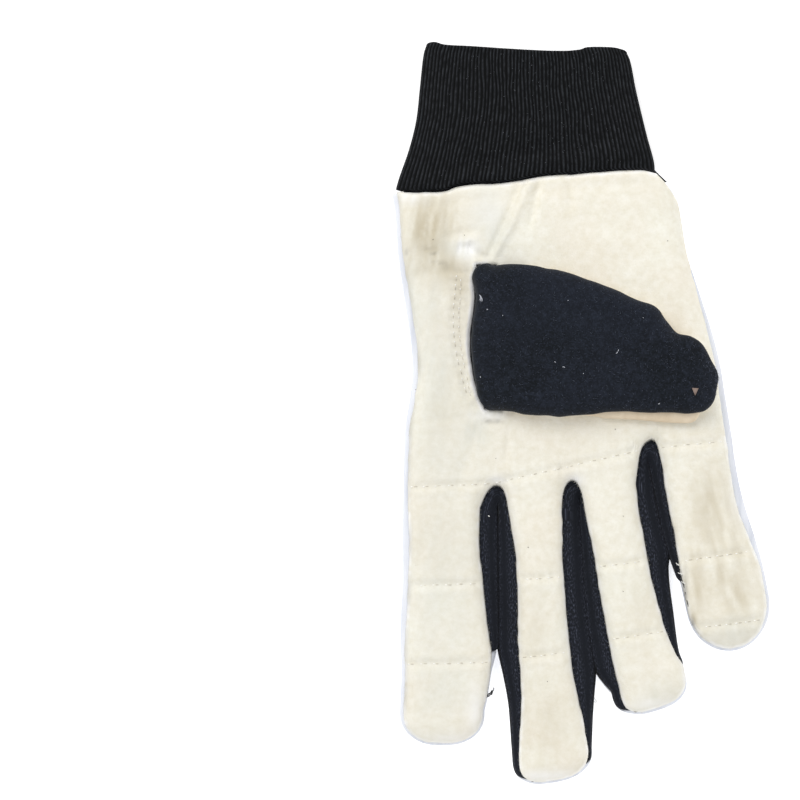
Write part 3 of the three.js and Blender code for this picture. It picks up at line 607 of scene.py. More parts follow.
def palm_height(x, y, quilts):
    """Height of the chamois: a quarter circle's rise from its edge to a top that falls towards the finger
    tips and the little finger, plus folds, quilting, the thumb's seam and slow random swells."""
    edge, _ = near(palm_plan["outline"], x, y)
    little = blend(FINGER_TOP, LITTLE_TOP, smooth(x - 0.2 * y, 22, 40))
    top = blend(PALM_TOP, little, smooth(-y, -5, 40))
    relief = sum(rise * noise(x, y, size, seed) for size, rise, seed in SWELLS) + wrinkled(x, y)
    for x1, y1, x2, y2, height, width in zip(*FOLDS.values()):
        distance, place = near(np.array([(x1, y1), (x2, y2)]), x, y)
        ends = smooth(place, -2, 3) * smooth(math.hypot(x2 - x1, y2 - y1) - place, -2, 3)
        relief = relief + height * bell(distance, width) * blend(0.4, 1, ends)
    for line in quilts:
        relief = relief + stitched(line, STITCH_PITCH, QUILT_DEPTH, QUILT_WIDTH, x, y)
    for line in THUMB_ROWS:
        relief = relief + stitched(line, THUMB_ROW_PITCH, THUMB_ROW_DEPTH, THUMB_ROW_WIDTH, x, y)
    turned = turned_in(cuff_seam(x) - y, CUFF_TURN)
    hem, _ = near(palm_plan["hole"], x, y)
    crown = (top - SEAM_Z - turned) * dome(edge / PALM_ROLL)
    return SEAM_Z + crown + relief * smooth(edge, 0, RELIEF_START) - turned_in(hem, THUMB_HEM)


WELD_STEP = 0.002


def weld(grids, flips, spots=None):
    """One mesh from grids of points in millimetres: each cell is cut along its shorter diagonal, neighbouring
    grids share the points of a common edge, and triangles without area are left out. Returns points,
    triangles, and each corner's place in the list of spots, which are the grids' own flat coordinates."""
    points = np.concatenate([grid.reshape(-1, 3) for grid in grids])
    places = np.round(points / WELD_STEP).astype(int)
    _, first, number = np.unique(places, axis=0, return_index=True, return_inverse=True)
    raw, start = [], 0
    for grid, flip in zip(grids, flips):
        index = start + np.arange(grid.shape[0] * grid.shape[1]).reshape(grid.shape[:2])
        corners = index[:-1, :-1], index[:-1, 1:], index[1:, :-1], index[1:, 1:]
        a, b, d, c = [part.ravel() for part in corners]
        across, back = [np.linalg.norm(points[p] - points[q], axis=1) for p, q in ((a, c), (b, d))]
        near_side, far_side = np.where(across > back, d, c), np.where(across > back, b, a)
        corners = np.concatenate([np.stack([a, b, near_side], -1), np.stack([far_side, c, d], -1)])
        raw.append(corners[:, ::-1] if flip else corners)
        start += index.size
    raw = np.concatenate(raw)
    faces = number.reshape(-1)[raw]
    whole = (faces[:, 0] != faces[:, 1]) & (faces[:, 1] != faces[:, 2]) & (faces[:, 2] != faces[:, 0])
    flat = np.concatenate([s.reshape(-1, 2) for s in spots])[raw[whole]] if spots else None
    return points[first], faces[whole], flat


def directions(points, faces):
    """The way out of a surface at each point: the sum of its triangles' crossed edges, at length 1."""
    a, b, c = points[faces[:, 0]], points[faces[:, 1]], points[faces[:, 2]]
    normal = np.cross(b - a, c - a)
    out = np.zeros_like(points)
    for k in range(3):
        np.add.at(out, faces[:, k], normal)
    return out / np.maximum(np.linalg.norm(out, axis=1, keepdims=True), 1e-12)


STEEP = 0.75


def thicken(points, faces, flat, wall, seam=0.0):
    """Gives a surface its wall, inwards, and closes its rim. A steep rim, or one at the seam's height, has
    its wall laid level, and no inner point goes below the seam."""
    out = directions(points, faces)
    edges = np.concatenate([faces[:, [0, 1]], faces[:, [1, 2]], faces[:, [2, 0]]])
    count = len(points)
    single = ~np.isin(edges[:, 0] * count + edges[:, 1], edges[:, 1] * count + edges[:, 0])
    rim = edges[single]
    ends = np.unique(rim)
    level = ends[(np.abs(out[ends, 2]) < STEEP) | (points[ends, 2] <= seam)]
    level = level[np.hypot(out[level, 0], out[level, 1]) > 0.02]
    out[level, 2] = 0
    out[level] /= np.linalg.norm(out[level], axis=1, keepdims=True)
    inner = points - out * wall
    inner[:, 2] = np.maximum(inner[:, 2], seam)
    a, b = rim[:, 0], rim[:, 1]
    band = np.concatenate([np.stack([b, a, a + count], 1), np.stack([b, a + count, b + count], 1)])
    if flat is not None:
        pairs = np.concatenate([flat[:, [0, 1]], flat[:, [1, 2]], flat[:, [2, 0]]])[single]
        start, end = pairs[:, 0], pairs[:, 1]
        side = np.concatenate([np.stack([end, start, start], 1), np.stack([end, start, end], 1)])
        flat = np.concatenate([flat, flat[:, ::-1], side])
    return np.concatenate([points, inner]), np.concatenate([faces, faces[:, ::-1] + count, band]), flat


def make_piece(name, points, faces, material, slot, flat=None, nodes=()):
    """Makes a smooth-shaded piece from points in millimetres and triangles, and lets it ride on the glove."""
    mesh = bpy.data.meshes.new(name)
    mesh.from_pydata((points * MM).tolist(), [], faces.tolist())
    if flat is not None:
        mesh.uv_layers.new(name="cloth").data.foreach_set("uv", flat.astype(np.float32).ravel())
    mesh.shade_smooth()
    mesh.materials.append(material)
    made = bpy.data.objects.new(name, mesh)
    bpy.context.scene.collection.objects.link(made)
    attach(made, "root")
    if nodes:
        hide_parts(*nodes)
    return made


def paint(piece, name, values):
    """Keeps one number for each point of a piece, for its material to read."""
    piece.data.attributes.new(name, "FLOAT", "POINT").data.foreach_set("value", values.astype(np.float32))


def mix(tree, share, under, over, way="MIX"):
    """A colour that a share takes from one to the other, or multiplies by the other."""
    return add(tree, "Mix", {0: share, 6: under, 7: over}, data_type="RGBA", blend_type=way).outputs[2]


def part_of(tree, value, low, high, top=1.0):
    """A value's place between low and high, as 0 to the top."""
    return add(tree, "MapRange", {0: value, 1: low, 2: high, 4: top}).outputs[0]


def grain(tree, place, size, detail, unit=MM, **sockets):
    """Noise whose lumps have the given size in millimetres. The unit is 1 if the place is in millimetres."""
    sockets = {"Vector": place, "Scale": 1 / (size * unit), "Detail": detail, **sockets}
    return add(tree, "TexNoise", sockets).outputs[0]


def bump(tree, height, strength, rise, under=None):
    """A normal tilted by a height that stands for a rise in millimetres, laid over another if given."""
    sockets = {"Height": height, "Strength": strength, "Distance": rise * MM}
    if under is not None:
        sockets["Normal"] = under
    return add(tree, "Bump", sockets).outputs[0]


# Marks that are painted on the chamois, each with its colour, in the order in which they cover one another
# The white mark is partly painted highlight along the palm's edges, and the dark mark partly painted shade
# down the index side.
CHAMOIS_MARKS = {"tan": "#cdc3ab", "worn": "#d6d8d0", "white": "#fffffe", "dirt_and_edge_shade": "#77746a"}


def chamois(name, light, mid, dark, nap):
    """Chamois: oil-tanned split sheepskin, buffed to a nap. It gives the eye a dead matt, creamy surface with
    cloudy patches, short fibres lying every way and a soft bright edge where the nap catches light."""
    material = new_material(name)
    tree = material.node_tree
    place = add(tree, "TexCoord").outputs["Object"]
    clouds = grain(tree, place, 22, 3.0, Roughness=0.55)
    mottle = grain(tree, place, 2.6, 3.0, Roughness=0.6)
    fibre = grain(tree, place, 0.7, 2.0, Distortion=1.2)
    colour = mix(tree, part_of(tree, clouds, 0.35, 0.68), linear(mid), linear(light))
    colour = mix(tree, part_of(tree, mottle, 0.3, 0.75, 0.6), colour, linear(dark), "MULTIPLY")
    for mark, tone in CHAMOIS_MARKS.items():
        amount = add(tree, "Attribute", attribute_name=mark).outputs["Fac"]
        colour = mix(tree, amount, colour, linear(tone))
    surface(tree, {
        "Base Color": colour,
        "Roughness": 0.92,
        "IOR": 1.45,
        "Specular IOR Level": 0.25,
        "Sheen Weight": 0.12,
        "Sheen Roughness": 0.5,
        "Normal": bump(tree, fibre, nap, 0.2, bump(tree, mottle, 0.5, 0.25)),
    })
    return material


def sway(points, reach, size):
    """Shifts points sideways by a smooth random amount, so that edges wander as cut leather's do."""
    x, y = points[:, 0], points[:, 1]
    shift = reach * np.stack([noise(x, y, size, 61), noise(x, y, size, 62), 0 * x], 1)
    return points + shift


PALM_ACROSS = 30
PALM_OVER = 12
PALM_STEP = 0.85
PALM_TIP_ROWS = 26
PALM_SWAY = (0.16, 3.2)
PALM_ROWS = np.unique(np.concatenate([
    np.linspace(0, HOLE_TOP, 32), np.linspace(HOLE_TOP, HOLE_END, 62), np.linspace(HOLE_END, 1, 34),
]))
palm_plan = panel_plan(
    across=PALM_ACROSS,
    over=PALM_OVER,
    rows=PALM_ROWS,
    step=PALM_STEP,
    tip_rows=PALM_TIP_ROWS,
    inset=0,
    half=lambda finger, side, t: finger_side(finger, side, t)[0],
    side_line=along,
    slot_line=lambda slot, start, end, steps: arch(start, end, slot["apex"], slot["shoulder"], steps),
)
palm_grids = []
for part in ("index", "above", "below", "rest"):
    x, y = np.moveaxis(palm_plan["parts"][part], -1, 0)
    palm_grids.append(np.stack([x, y, palm_height(x, y, [PALM_QUILT])], -1))
for finger, quilts in zip(palm_plan["fingers"], FINGER_QUILTS):
    x, y = np.moveaxis(finger, -1, 0)
    palm_grids.append(np.stack([x, y, palm_height(x, y, [PALM_QUILT, *quilts])], -1))
# Each root row belongs to the palm and to a finger, and takes the palm's height
for column, finger in zip((0, 3, 3, 3), palm_grids[4:]):
    root = palm_grids[column].reshape(-1, 3)
    gap = np.linalg.norm(root[None, :, :2] - finger[0][:, None, :2], axis=2)
    finger[0] = root[np.argmin(gap, axis=1)]
palm_points, palm_faces, _ = weld(palm_grids, [True] * len(palm_grids))
palm_points = sway(palm_points, *PALM_SWAY)
palm_points, palm_faces, _ = thicken(palm_points, palm_faces, None, CHAMOIS_WALL, SEAM_Z)
palm_leather = make_piece(
    "palm_leather", palm_points, palm_faces,
    chamois("chamois_napped_cream", "#f8f6eb", "#f5f0e3", "#ece8dc", 0.6), "chamois_palm",
    nodes=["palm_panel"],
)

# Marks on the chamois: round patches, each a centre, a size, a strength and how far it breaks up into
# lengthwise streaks. The first are tan, where the leather has yellowed in use
PATCH = "x y width height strength streaks"
TAN_PATCHES = table(PATCH, [
    [-53, 63, 9, 13, 0.8, 0.6],
    [-48.5, 68, 3, 10, 0.4, 0.4],
    [-46.5, 50, 5, 5, 0.85, 0.3],
    [-52, 57, 4, 2, 0.7, 0.9],
    [-57, 50, 7, 3, 0.4, 0.4],
    [-42, 44, 2, 4, 0.6, 0.2],
    [-43.5, 34, 2, 12, 0.25, 0.5],
    [45, -33, 7, 15, 0.4, 0.8],
    [52, -42, 6, 12, 0.5, 0.8],
    [52, -62, 9, 13, 0.55, 0.8],
    [41, -60, 3, 12, 0.5, 0.6],
    [39.5, -73, 1.6, 4, 0.6, 0.5],
    [30, 76, 7, 7, 0.2, 0.3],
    [-50, 0, 9, 10, 0.25, 0.5],
    [-12, -108, 10, 16, 0.32, 0.2],
    [-16, -75, 5, 14, 0.2, 0.6],
    [20, -70, 7, 14, 0.2, 0.7],
    [-50, -45, 10, 12, 0.12, 0.5],
])
# Grey wear
GREY_PATCHES = table(PATCH, [
    [-48, -60, 16, 44, 0.3, 0.2],
    [-52, 20, 9, 30, 0.4, 0.3],
    [-12, -10, 40, 14, 0.05, 0.1],
    [-13, -65, 10, 30, 0.12, 0.3],
    [15, -60, 14, 40, 0.08, 0.2],
    [-33, 70, 7, 10, 0.3, 0.1],
    [-48, -100, 10, 12, 0.25, 0.3],
    [-48, -18, 12, 8, 0.18, 0.3],
    [-37, -6, 5, 6, 0.45, 0.6],
    [-33, 2, 3, 3, 0.6, 0.2],
    [-42, 57.5, 6, 3.2, 0.5, 0.2],
    [-30, 62, 5, 8, 0.4, 0.1],
    [54, -78, 10, 6, 0.4, 0.3],
    [28, -98, 9, 6, 0.3, 0.3],
    [-60, 34, 3, 24, 0.4, 0.1],
    [-12, 60, 12, 12, 0.08, 0.2],
    [37, -3, 8, 3, 0.35, 0.3],
])
STREAK_WIDTH = 1.7
STREAK_LENGTH = 13


def patches(rows, points, seed):
    """How strongly patches mark each point: one less the product of what each bell, broken up by streaks
    that run towards the finger tips, leaves."""
    x, y = points[:, 0], points[:, 1]
    across = x * (1 + FAN * y)
    streak = noise(across / STREAK_WIDTH, y / STREAK_LENGTH, 1, seed)
    streak = streak + 0.5 * noise(across, y / 6, 0.8, seed + 1)
    left = np.ones(len(points))
    for cx, cy, width, height, strength, streaks in zip(*rows.values()):
        round_patch = bell(np.hypot((x - cx) / width, (y - cy) / height), 1)
        left *= 1 - np.clip(strength * round_patch * (1 + streaks * streak), 0, 1)
    return 1 - left


# White scuffs, where the nap is raised
WHITE_PATCHES = table(PATCH, [
    [-40, 57.5, 4, 3.5, 0.8, 0.5],
    [-33, -1, 5, 2.2, 0.6, 0.5],
    [-33, 70, 6, 6, 0.3, 0.1],
    [-2, -24, 3, 2.5, 0.9, 0.2],
    [-29, -23.5, 3, 1.5, 0.7, 0.2],
    [-24, -60, 1.5, 30, 0.3, 0.5],
    [-60, 75, 5, 2, 0.5, 0.4],
    [-37, -104, 3, 9, 0.5, 0.2],
    [-45, -114, 10, 2, 0.4, 0.2],
    [-12, -127, 11, 2, 0.6, 0.2],
    [26, -102, 9, 2, 0.5, 0.2],
    [55, -28, 3, 9, 0.5, 0.2],
])
# Soiled places
DIRT_PATCHES = table(PATCH, [
    [-61.3, 56, 1.2, 1.5, 0.4, 1],
    [-54.5, 57.5, 1.6, 0.6, 0.4, 1],
    [-51.5, 55.8, 1.4, 0.5, 0.35, 1],
    [-50, 52.5, 2.2, 0.6, 0.3, 1],
    [-46, 51, 2.5, 1.5, 0.25, 1],
    [39.0, -74.0, 0.7, 2.4, 0.5, 0.5],
    [36.4, -62, 0.8, 7, 0.45, 0.6],
    [-31, -3, 4, 0.8, 0.3, 1],
])
# White nap with painted highlight along the thumb's hem, the fingers' edges and the cuff's seam, and painted
# grey shade down the index side's edge
HEM_WIDTH = 1.2
HEM_NAP_AND_HIGHLIGHT = 0.9
HEM_END = -33
EDGE_WIDTH = 0.8
EDGE_NAP_AND_HIGHLIGHT = 0.8
EDGE_START = -8
SEAM_NAP_AND_HIGHLIGHT = 0.9
EDGE_SHADE_WIDTH = 1.0
EDGE_SHADE = 0.4
EDGE_SHADE_END = -54

x, y = palm_points[:, 0], palm_points[:, 1]
ragged = 0.5 + 0.5 * noise(x, y, 1.7, 72)
hem, _ = near(palm_plan["hole"], x, y)
hem = hem + 0.35 * noise(x, y, 2.0, 71)
# Painted highlight: the hem's white nap is painted bright beside the thumb, where the thumb's shadow falls.
hem_nap_and_highlight = HEM_NAP_AND_HIGHLIGHT * (1 - smooth(hem, HEM_WIDTH, 1.6 * HEM_WIDTH)) * (x < HEM_END)
edge, _ = near(palm_plan["outline"], x, y)
edge_nap_and_highlight = EDGE_NAP_AND_HIGHLIGHT * (1 - smooth(edge, 0.5 * EDGE_WIDTH, 1.6 * EDGE_WIDTH)) * ragged * (y < EDGE_START)
seam_nap_and_highlight = SEAM_NAP_AND_HIGHLIGHT * (1 - smooth(cuff_seam(x) - y, 0.4, 1.8)) * ragged
white = np.maximum.reduce([hem_nap_and_highlight, edge_nap_and_highlight, seam_nap_and_highlight, patches(WHITE_PATCHES, palm_points, 45)])
# Painted shade: a soft grey along the index side's edge, where the leather rolls down to the knit, broken up
# by noise.
edge_shade = EDGE_SHADE * bell(edge, EDGE_SHADE_WIDTH) * smooth(noise(x, y, 9, 73), -1, 0.8) * (x < EDGE_SHADE_END)
paint(palm_leather, "tan", patches(TAN_PATCHES, palm_points, 31) * (1 - hem_nap_and_highlight))
paint(palm_leather, "worn", patches(GREY_PATCHES, palm_points, 41) * (1 - hem_nap_and_highlight))
# The white mark: scuffs of raised nap, and white nap with painted highlight along the hem, the edges and the
# seam.
paint(palm_leather, "white", white)
# The dark mark holds the soil patches and the painted shade down the index side.
paint(palm_leather, "dirt_and_edge_shade", np.maximum(edge_shade, patches(DIRT_PATCHES, palm_points, 47)))


# Back panel: white stretch knit, the back of the hand and fingers, flat on the floor and rolled up round the
# sides and the finger tips to the chamois, to which it is sewn.
BACK_WALL = 1.2
BACK_EDGE_Z = 3.5
BACK_ROLL = 3.0
CROTCH_ROLL = 1.8
TIP_RIM = 1.2
LEAST_RIM = 0.2
SPREAD_GAP = 0.35
BACK_ACROSS = 12
BACK_OVER = 12
BACK_STEP = 1.2
BACK_TIP_ROWS = 22
ROLL_STEPS = 9


def back_side(finger, side, t):
    """The knit's edge at one side of a finger: where the flat part ends, and its roll's reach, height and
    turn."""
    palm, out, strip = finger_side(finger, side, t)
    rim = blend(np.maximum(out - palm, LEAST_RIM), TIP_RIM, smooth(t, finger["tip_start"], 1))
    flat = blend(palm - TUCK, out - BACK_ROLL, strip)
    roll = blend(TUCK + rim, BACK_ROLL, strip)
    height = blend((SEAM_Z - GAP) / 2, BACK_EDGE_Z, strip)
    return flat, roll, height, blend(np.pi / 2, 0, strip)


def back_edge(rows, shares):
    """The flat knit's edge beside the palm, held in from the chamois's edge by the tuck."""
    line = along(rows, shares)
    line[:, 0] += TUCK if rows is INDEX_EDGE else -TUCK
    return line


def rolled_edge(base, out, low, roll, height, turn, steps):
    """A grid that rolls from a flat edge outwards and up: sideways by a cosine, up by one plus a sine, as the
    angle goes from straight down to the turn."""
    angle = blend(-np.pi / 2, np.asarray(turn)[:, None], np.linspace(0, 1, steps + 1)[None])
    reach = np.asarray(roll)[:, None] * np.cos(angle)
    plan = base[:, None] + out[:, None] * reach[..., None]
    z = low + np.asarray(height)[:, None] * (1 + np.sin(angle))
    return np.concatenate([plan, z[..., None]], -1)


def sideways(line):
    """The way out of each point of a line, to the right as it runs."""
    numbers = np.arange(len(line))
    step = line[np.minimum(numbers + 1, len(line) - 1)] - line[np.maximum(numbers - 1, 0)]
    step = step / np.maximum(np.linalg.norm(step, axis=1, keepdims=True), 1e-9)
    return np.stack([step[:, 1], -step[:, 0]], 1)


FOLD_SHADE_SIZE = (2.4, 30, 9)


def stretch_knit(name, face, shade, fold_shade):
    """White stretch knit: fine polyester jersey, brushed inside. It gives the eye a clean bluish white with
    hair-fine ribs, drawn 1 mm apart so that they show, painted grey-blue shade along its lengthwise folds and
    a soft sheen."""
    material = new_material(name)
    tree = material.node_tree
    place = add(tree, "TexCoord").outputs["Object"]
    wales = add(tree, "TexWave", {
        "Vector": place, "Scale": 1 / (20 * MM), "Distortion": 1.5, "Detail": 1.0, "Detail Scale": 3.0,
    }, bands_direction="X")
    # Painted shade: lengthwise streaks of the fold colour stand for the shade in the knit's folds.
    lengthwise = add(tree, "Mapping", {"Vector": place, "Scale": [1 / (size * MM) for size in FOLD_SHADE_SIZE]})
    fold_shade_mask = grain(tree, lengthwise.outputs[0], 1, 2.0, 1)
    colour = mix(tree, grain(tree, place, 12, 3.0), linear(shade), linear(face))
    surface(tree, {
        "Base Color": mix(tree, part_of(tree, fold_shade_mask, 0.42, 0.75, 0.5), colour, linear(fold_shade)),
        "Roughness": 0.8,
        "Sheen Weight": 0.15,
        "Normal": bump(tree, wales.outputs[0], 0.35, 0.15),
    })
    return material


back_plan = panel_plan(
    across=BACK_ACROSS,
    over=BACK_OVER,
    rows=PALM_ROWS,
    step=BACK_STEP,
    tip_rows=BACK_TIP_ROWS,
    inset=TUCK,
    half=lambda finger, side, t: back_side(finger, side, t)[0],
    side_line=back_edge,
    slot_line=lambda slot, start, end, steps: arch(
        start, end, (slot["crotch"][0], slot["crotch"][1] + BACK_ROLL + SPREAD_GAP), CROTCH_SHOULDER, steps
    ),
)


def side_rolls(rows, shares):
    """The knit's roll by the palm: its reach from the table's rim, half the seam's height, a half turn."""
    numbers = {"number": np.arange(len(rows["rim"]), dtype=float), "rim": rows["rim"]}
    rim = read(numbers, "number", "rim", shares * (len(rows["rim"]) - 1))
    half_height = np.full(len(shares), (SEAM_Z - GAP) / 2)
    return np.stack([TUCK + rim, half_height, np.full(len(shares), np.pi / 2)], 1)


rolls = [side_rolls(INDEX_EDGE, PALM_ROWS)]
for i, finger in enumerate(FINGERS):
    t, _ = finger_rows(finger, BACK_STEP, BACK_TIP_ROWS)
    down, up = [np.stack(back_side(finger, side, t)[1:], 1) for side in (-1, 1)]
    rolls += [down[1:], up[::-1][1:]]
    if i < 3:
        rolls.append(np.tile([CROTCH_ROLL, BACK_EDGE_Z, 0], (BACK_OVER, 1)))
rolls.append(side_rolls(LITTLE_EDGE, PALM_ROWS)[::-1][1:])
rolls = np.concatenate(rolls)
back_line = back_plan["outline"]
back_grids = [np.concatenate([grid, np.zeros((*grid.shape[:2], 1))], -1)
              for grid in [*back_plan["parts"].values(), *back_plan["fingers"]]]
back_grids.append(rolled_edge(back_line, sideways(back_line), 0, *rolls.T, ROLL_STEPS))
back_points, back_faces, _ = weld(back_grids, [False] * (len(back_grids) - 1) + [True])
back_points, back_faces, _ = thicken(back_points, back_faces, None, BACK_WALL)
make_piece(
    "back_knit", back_points, back_faces,
    stretch_knit("white_polyester_jersey", "#f1f3f8", "#dde1ea", "#bcc2d1"), "white_knit",
    nodes=["back_panel"],
)


# Finger sides: three strips of black jersey, each down one finger's side, round the crotch and up the next
# finger's side, sewn under the chamois above and to the white knit below, and running out to a point.
KNIT_WALL = 1.2
STRIP_START = 0.05
STRIP_LEAST = 0.04
STRIP_STEPS = 14
STRIP_SWELL = 0.75
STRIP_DEPTH = 8
RIPPLE = 0.3


def product(tree, a, b):
    """Two values multiplied."""
    return add(tree, "Math", {0: a, 1: b}, operation="MULTIPLY").outputs[0]


def jersey(name, face, glint, deep, foot, wale):
    """Black cotton jersey: knitted in fine ribs along the cut. It gives the eye a soft blue-black with
    broken lines of painted glint along the strip where loops stand up, painted near-black shade at its sewn
    foot deep between the fingers, and no shine."""
    material = new_material(name)
    tree = material.node_tree
    place = add(tree, "UVMap", uv_map="cloth").outputs[0]
    ribs = add(tree, "TexWave", {
        "Vector": place, "Scale": 1 / (20 * wale), "Distortion": 0.5, "Detail": 2.0, "Detail Scale": 1.5,
    }, bands_direction="Y")
    stretched = add(tree, "Mapping", {"Vector": place, "Scale": (0.3, 1.2, 1.0)})
    loops = grain(tree, stretched.outputs[0], 0.3, 3.0, 1)
    broken = product(tree, part_of(tree, loops, 0.5, 0.72), ribs.outputs[0])
    depth = add(tree, "SeparateXYZ", {0: place}).outputs[1]
    colour = mix(tree, grain(tree, place, 9, 2.0, 1), linear(deep), linear(face))
    # Painted highlight: broken glints of a lighter blue-grey along the ribs.
    colour = mix(tree, broken, colour, linear(glint))
    surface(tree, {
        # Painted shade: near-black towards the strip's foot, deep between the fingers.
        "Base Color": mix(tree, part_of(tree, depth, 5.4, 6.6), colour, linear(foot)),
        "Roughness": 0.9,
        "Specular IOR Level": 0.2,
        "Sheen Weight": 0.06,
        "Sheen Roughness": 0.4,
        "Normal": bump(tree, broken, 0.6, 0.15),
    })
    return material


def strip_side(finger, side):
    """One finger's side of a strip, from the root down: its top edge under the chamois, its bottom edge on
    the white knit's roll, and that edge's height. Where the strip fades the two edges meet."""
    t, width = finger_rows(finger, PALM_STEP, PALM_TIP_ROWS)
    keep = finger_side(finger, side, t)[2] > STRIP_LEAST
    t, width = t[keep], width[keep]
    palm, _, _ = finger_side(finger, side, t)
    flat, roll, height, turn = back_side(finger, side, t)
    top = on_finger(finger, t, side * (palm - TUCK) * width)
    swell = STRIP_SWELL * (1 - smooth(t, 0.55, 0.8))
    reach = flat + roll * np.cos(turn) + swell
    bottom = on_finger(finger, np.maximum(t, STRIP_START), side * reach * width)
    return top, bottom, height * (1 + np.sin(turn)) + GAP


def finger_strip(slot, before, after):
    """A finger strip's grid: a quarter ellipse from the top edge out and down to the bottom edge at each row,
    swelled a little along its length."""
    down = [row[::-1] for row in strip_side(before, 1)]
    up = strip_side(after, -1)
    apex = (slot["apex"][0], slot["apex"][1] + TUCK)
    turn = (
        arch(down[0][-1], up[0][0], apex, slot["shoulder"], PALM_OVER)[1:-1],
        arch(down[1][-1], up[1][0], slot["crotch"], CROTCH_SHOULDER, PALM_OVER)[1:-1],
        np.full(PALM_OVER - 1, BACK_EDGE_Z + GAP),
    )
    top, bottom, low = [np.concatenate(rows) for rows in zip(down, turn, up)]
    angle = np.linspace(0, np.pi / 2, STRIP_STEPS + 1)[None]
    plan = blend(top[:, None], bottom[:, None], np.sin(angle)[..., None])
    high = np.maximum(SEAM_Z - GAP, low)[:, None]
    z = blend(low[:, None], high, np.cos(angle))
    gone = lengths(bottom)[:, None] * np.ones_like(angle)
    depth = np.linspace(0, STRIP_DEPTH, STRIP_STEPS + 1)[None] * np.ones_like(gone)
    fade = np.sin(2 * angle) * smooth(np.linalg.norm(bottom - top, axis=1), 0.5, 3)[:, None]
    z = z + RIPPLE * fade * (noise(gone, depth, 7, 5) + 0.6 * noise(gone, depth, 2.5, 6))
    return np.concatenate([plan, z[..., None]], -1), np.stack([gone, depth], -1)


strip_jersey = jersey("black_cotton_jersey", "#1b1e27", "#4e5362", "#13161b", "#08090c", 0.6)
for slot, before, after in zip(SLOTS, FINGERS, FINGERS[1:]):
    grid, spots = finger_strip(slot, before, after)
    points, faces, flat = weld([grid], [False], [spots])
    points, faces, flat = thicken(points, faces, flat, KNIT_WALL)
    make_piece(
        "finger_side_" + slot["name"], points, faces, strip_jersey, "black_knit", flat,
        nodes=["fourchette_" + slot["name"]],
    )


# Thumb back: black brushed knit, the side of the folded thumb that shows. It rises out of the palm's slot,
# puffs up over the palm and closes round the tip.
THUMB_ROOT_X = -39.65
# From the sewn flange under the palm out over the hem, then along the thumb: the lower edge and heights
THUMB_LOW = table("along y crown edge", [
    [-2.5, 7, 11.0, 11.0],
    [0.6, 4.5, 11.1, 11.1],
    [1.3, 3.4, 12.4, 12.2],
    [1.2, 2.9, 14.6, 13.8],
    [0.5, 2.4, 16.4, 14.4],
    [0.2, 2.2, 17.8, 14.5],
    [0.8, 1.7, 19.6, 14.5],
    [2.6, 0.9, 21.2, 14.6],
    [5.8, 0.75, 22.4, 14.6],
    [10.5, 0.7, 23.4, 15.5],
    [15.2, 0.3, 24.0, 18.3],
    [19.2, -0.5, 24.4, 18.5],
    [26, -1.1, 24.6, 18.5],
    [32.9, -1.4, 24.6, 18.5],
    [39.7, -0.9, 24.6, 18.5],
    [45.7, -0.2, 24.5, 18.5],
    [52.4, 0.3, 24.3, 18.5],
    [62.4, 0.1, 24.0, 18.5],
    [73.1, -0.2, 23.8, 18.5],
    [79.2, -0.1, 23.4, 18.5],
    [82.5, 0.8, 23.0, 18.5],
    [85.2, 3.5, 22.8, 18.5],
    [86.6, 7.5, 22.6, 18.5],
    [87.1, 13.5, 22.5, 18.5],
])
THUMB_HIGH = table("along y", [
    [-2.5, 47],
    [0.6, 49],
    [1.3, 49.9],
    [1.2, 50.3],
    [0.5, 50.6],
    [0.2, 50.9],
    [0.8, 51.6],
    [4.2, 52.3],
    [8.6, 51.5],
    [13.3, 51.8],
    [20, 51.4],
    [25.3, 50.7],
    [31.4, 49.7],
    [37.4, 48.0],
    [43.4, 45.7],
    [48.8, 43.9],
    [55.4, 41.0],
    [59.5, 39.1],
    [64.1, 37.6],
    [66.5, 35.6],
    [68.8, 32.2],
    [72.8, 27.9],
    [77.5, 26.6],
    [81.5, 23.9],
    [84.2, 18.9],
])
THUMB_ROOT_EDGE = table("share x", [
    [0, -34.6],
    [0.03, -35.8],
    [0.08, -36.7],
    [0.17, -37.4],
    [0.28, -38.5],
    [0.42, -39.1],
    [0.56, -38.9],
    [0.7, -38.0],
    [0.79, -37.6],
    [0.86, -38.1],
    [0.92, -38.8],
    [0.96, -38.3],
    [0.985, -37.3],
    [1, -35.8],
])
THUMB_STRAIGHT = 12
THUMB_ROLL = 7.0
THUMB_ACROSS = 72
THUMB_STEP = 0.8
THUMB_BODY = 2.0
THUMB_SWAY = (0.2, 4)


def thumb_lines(first):
    """The thumb's two long edges from a row of the tables on, each cut in steps of equal length from root to
    tip, and the heights at the same places. Both edges are halves of one smooth curve round the tip."""
    low = np.stack([THUMB_LOW["along"], THUMB_LOW["y"]], 1)[first:]
    high = np.stack([THUMB_HIGH["along"], THUMB_HIGH["y"]], 1)[first:]
    loop = np.concatenate([low, high[::-1]])
    halves = []
    for start, end in ((0, len(low) - 1), (len(loop) - 1, len(low) - 1)):
        fine = np.linspace(start, end, 60 * len(low))
        gone = lengths(curve(loop, fine))
        halves.append((fine, gone))
    count = round(halves[1][1][-1] / THUMB_STEP)
    at = [np.interp(np.linspace(0, gone[-1], count), gone, fine) for fine, gone in halves]
    heights = curve(np.stack([THUMB_LOW["crown"], THUMB_LOW["edge"]], 1)[first:], at[0])
    return curve(loop, at[0]), curve(loop, at[1]), heights


def thumb_place(points, share):
    """A thumb point's place on the glove: the root edge follows its table, and that fades along the thumb."""
    edge = read(THUMB_ROOT_EDGE, "share", "x", share) - THUMB_ROOT_X
    x = THUMB_ROOT_X + points[..., 0] + edge * (1 - smooth(points[..., 0], 0, THUMB_STRAIGHT))
    return np.stack([x, points[..., 1]], -1)


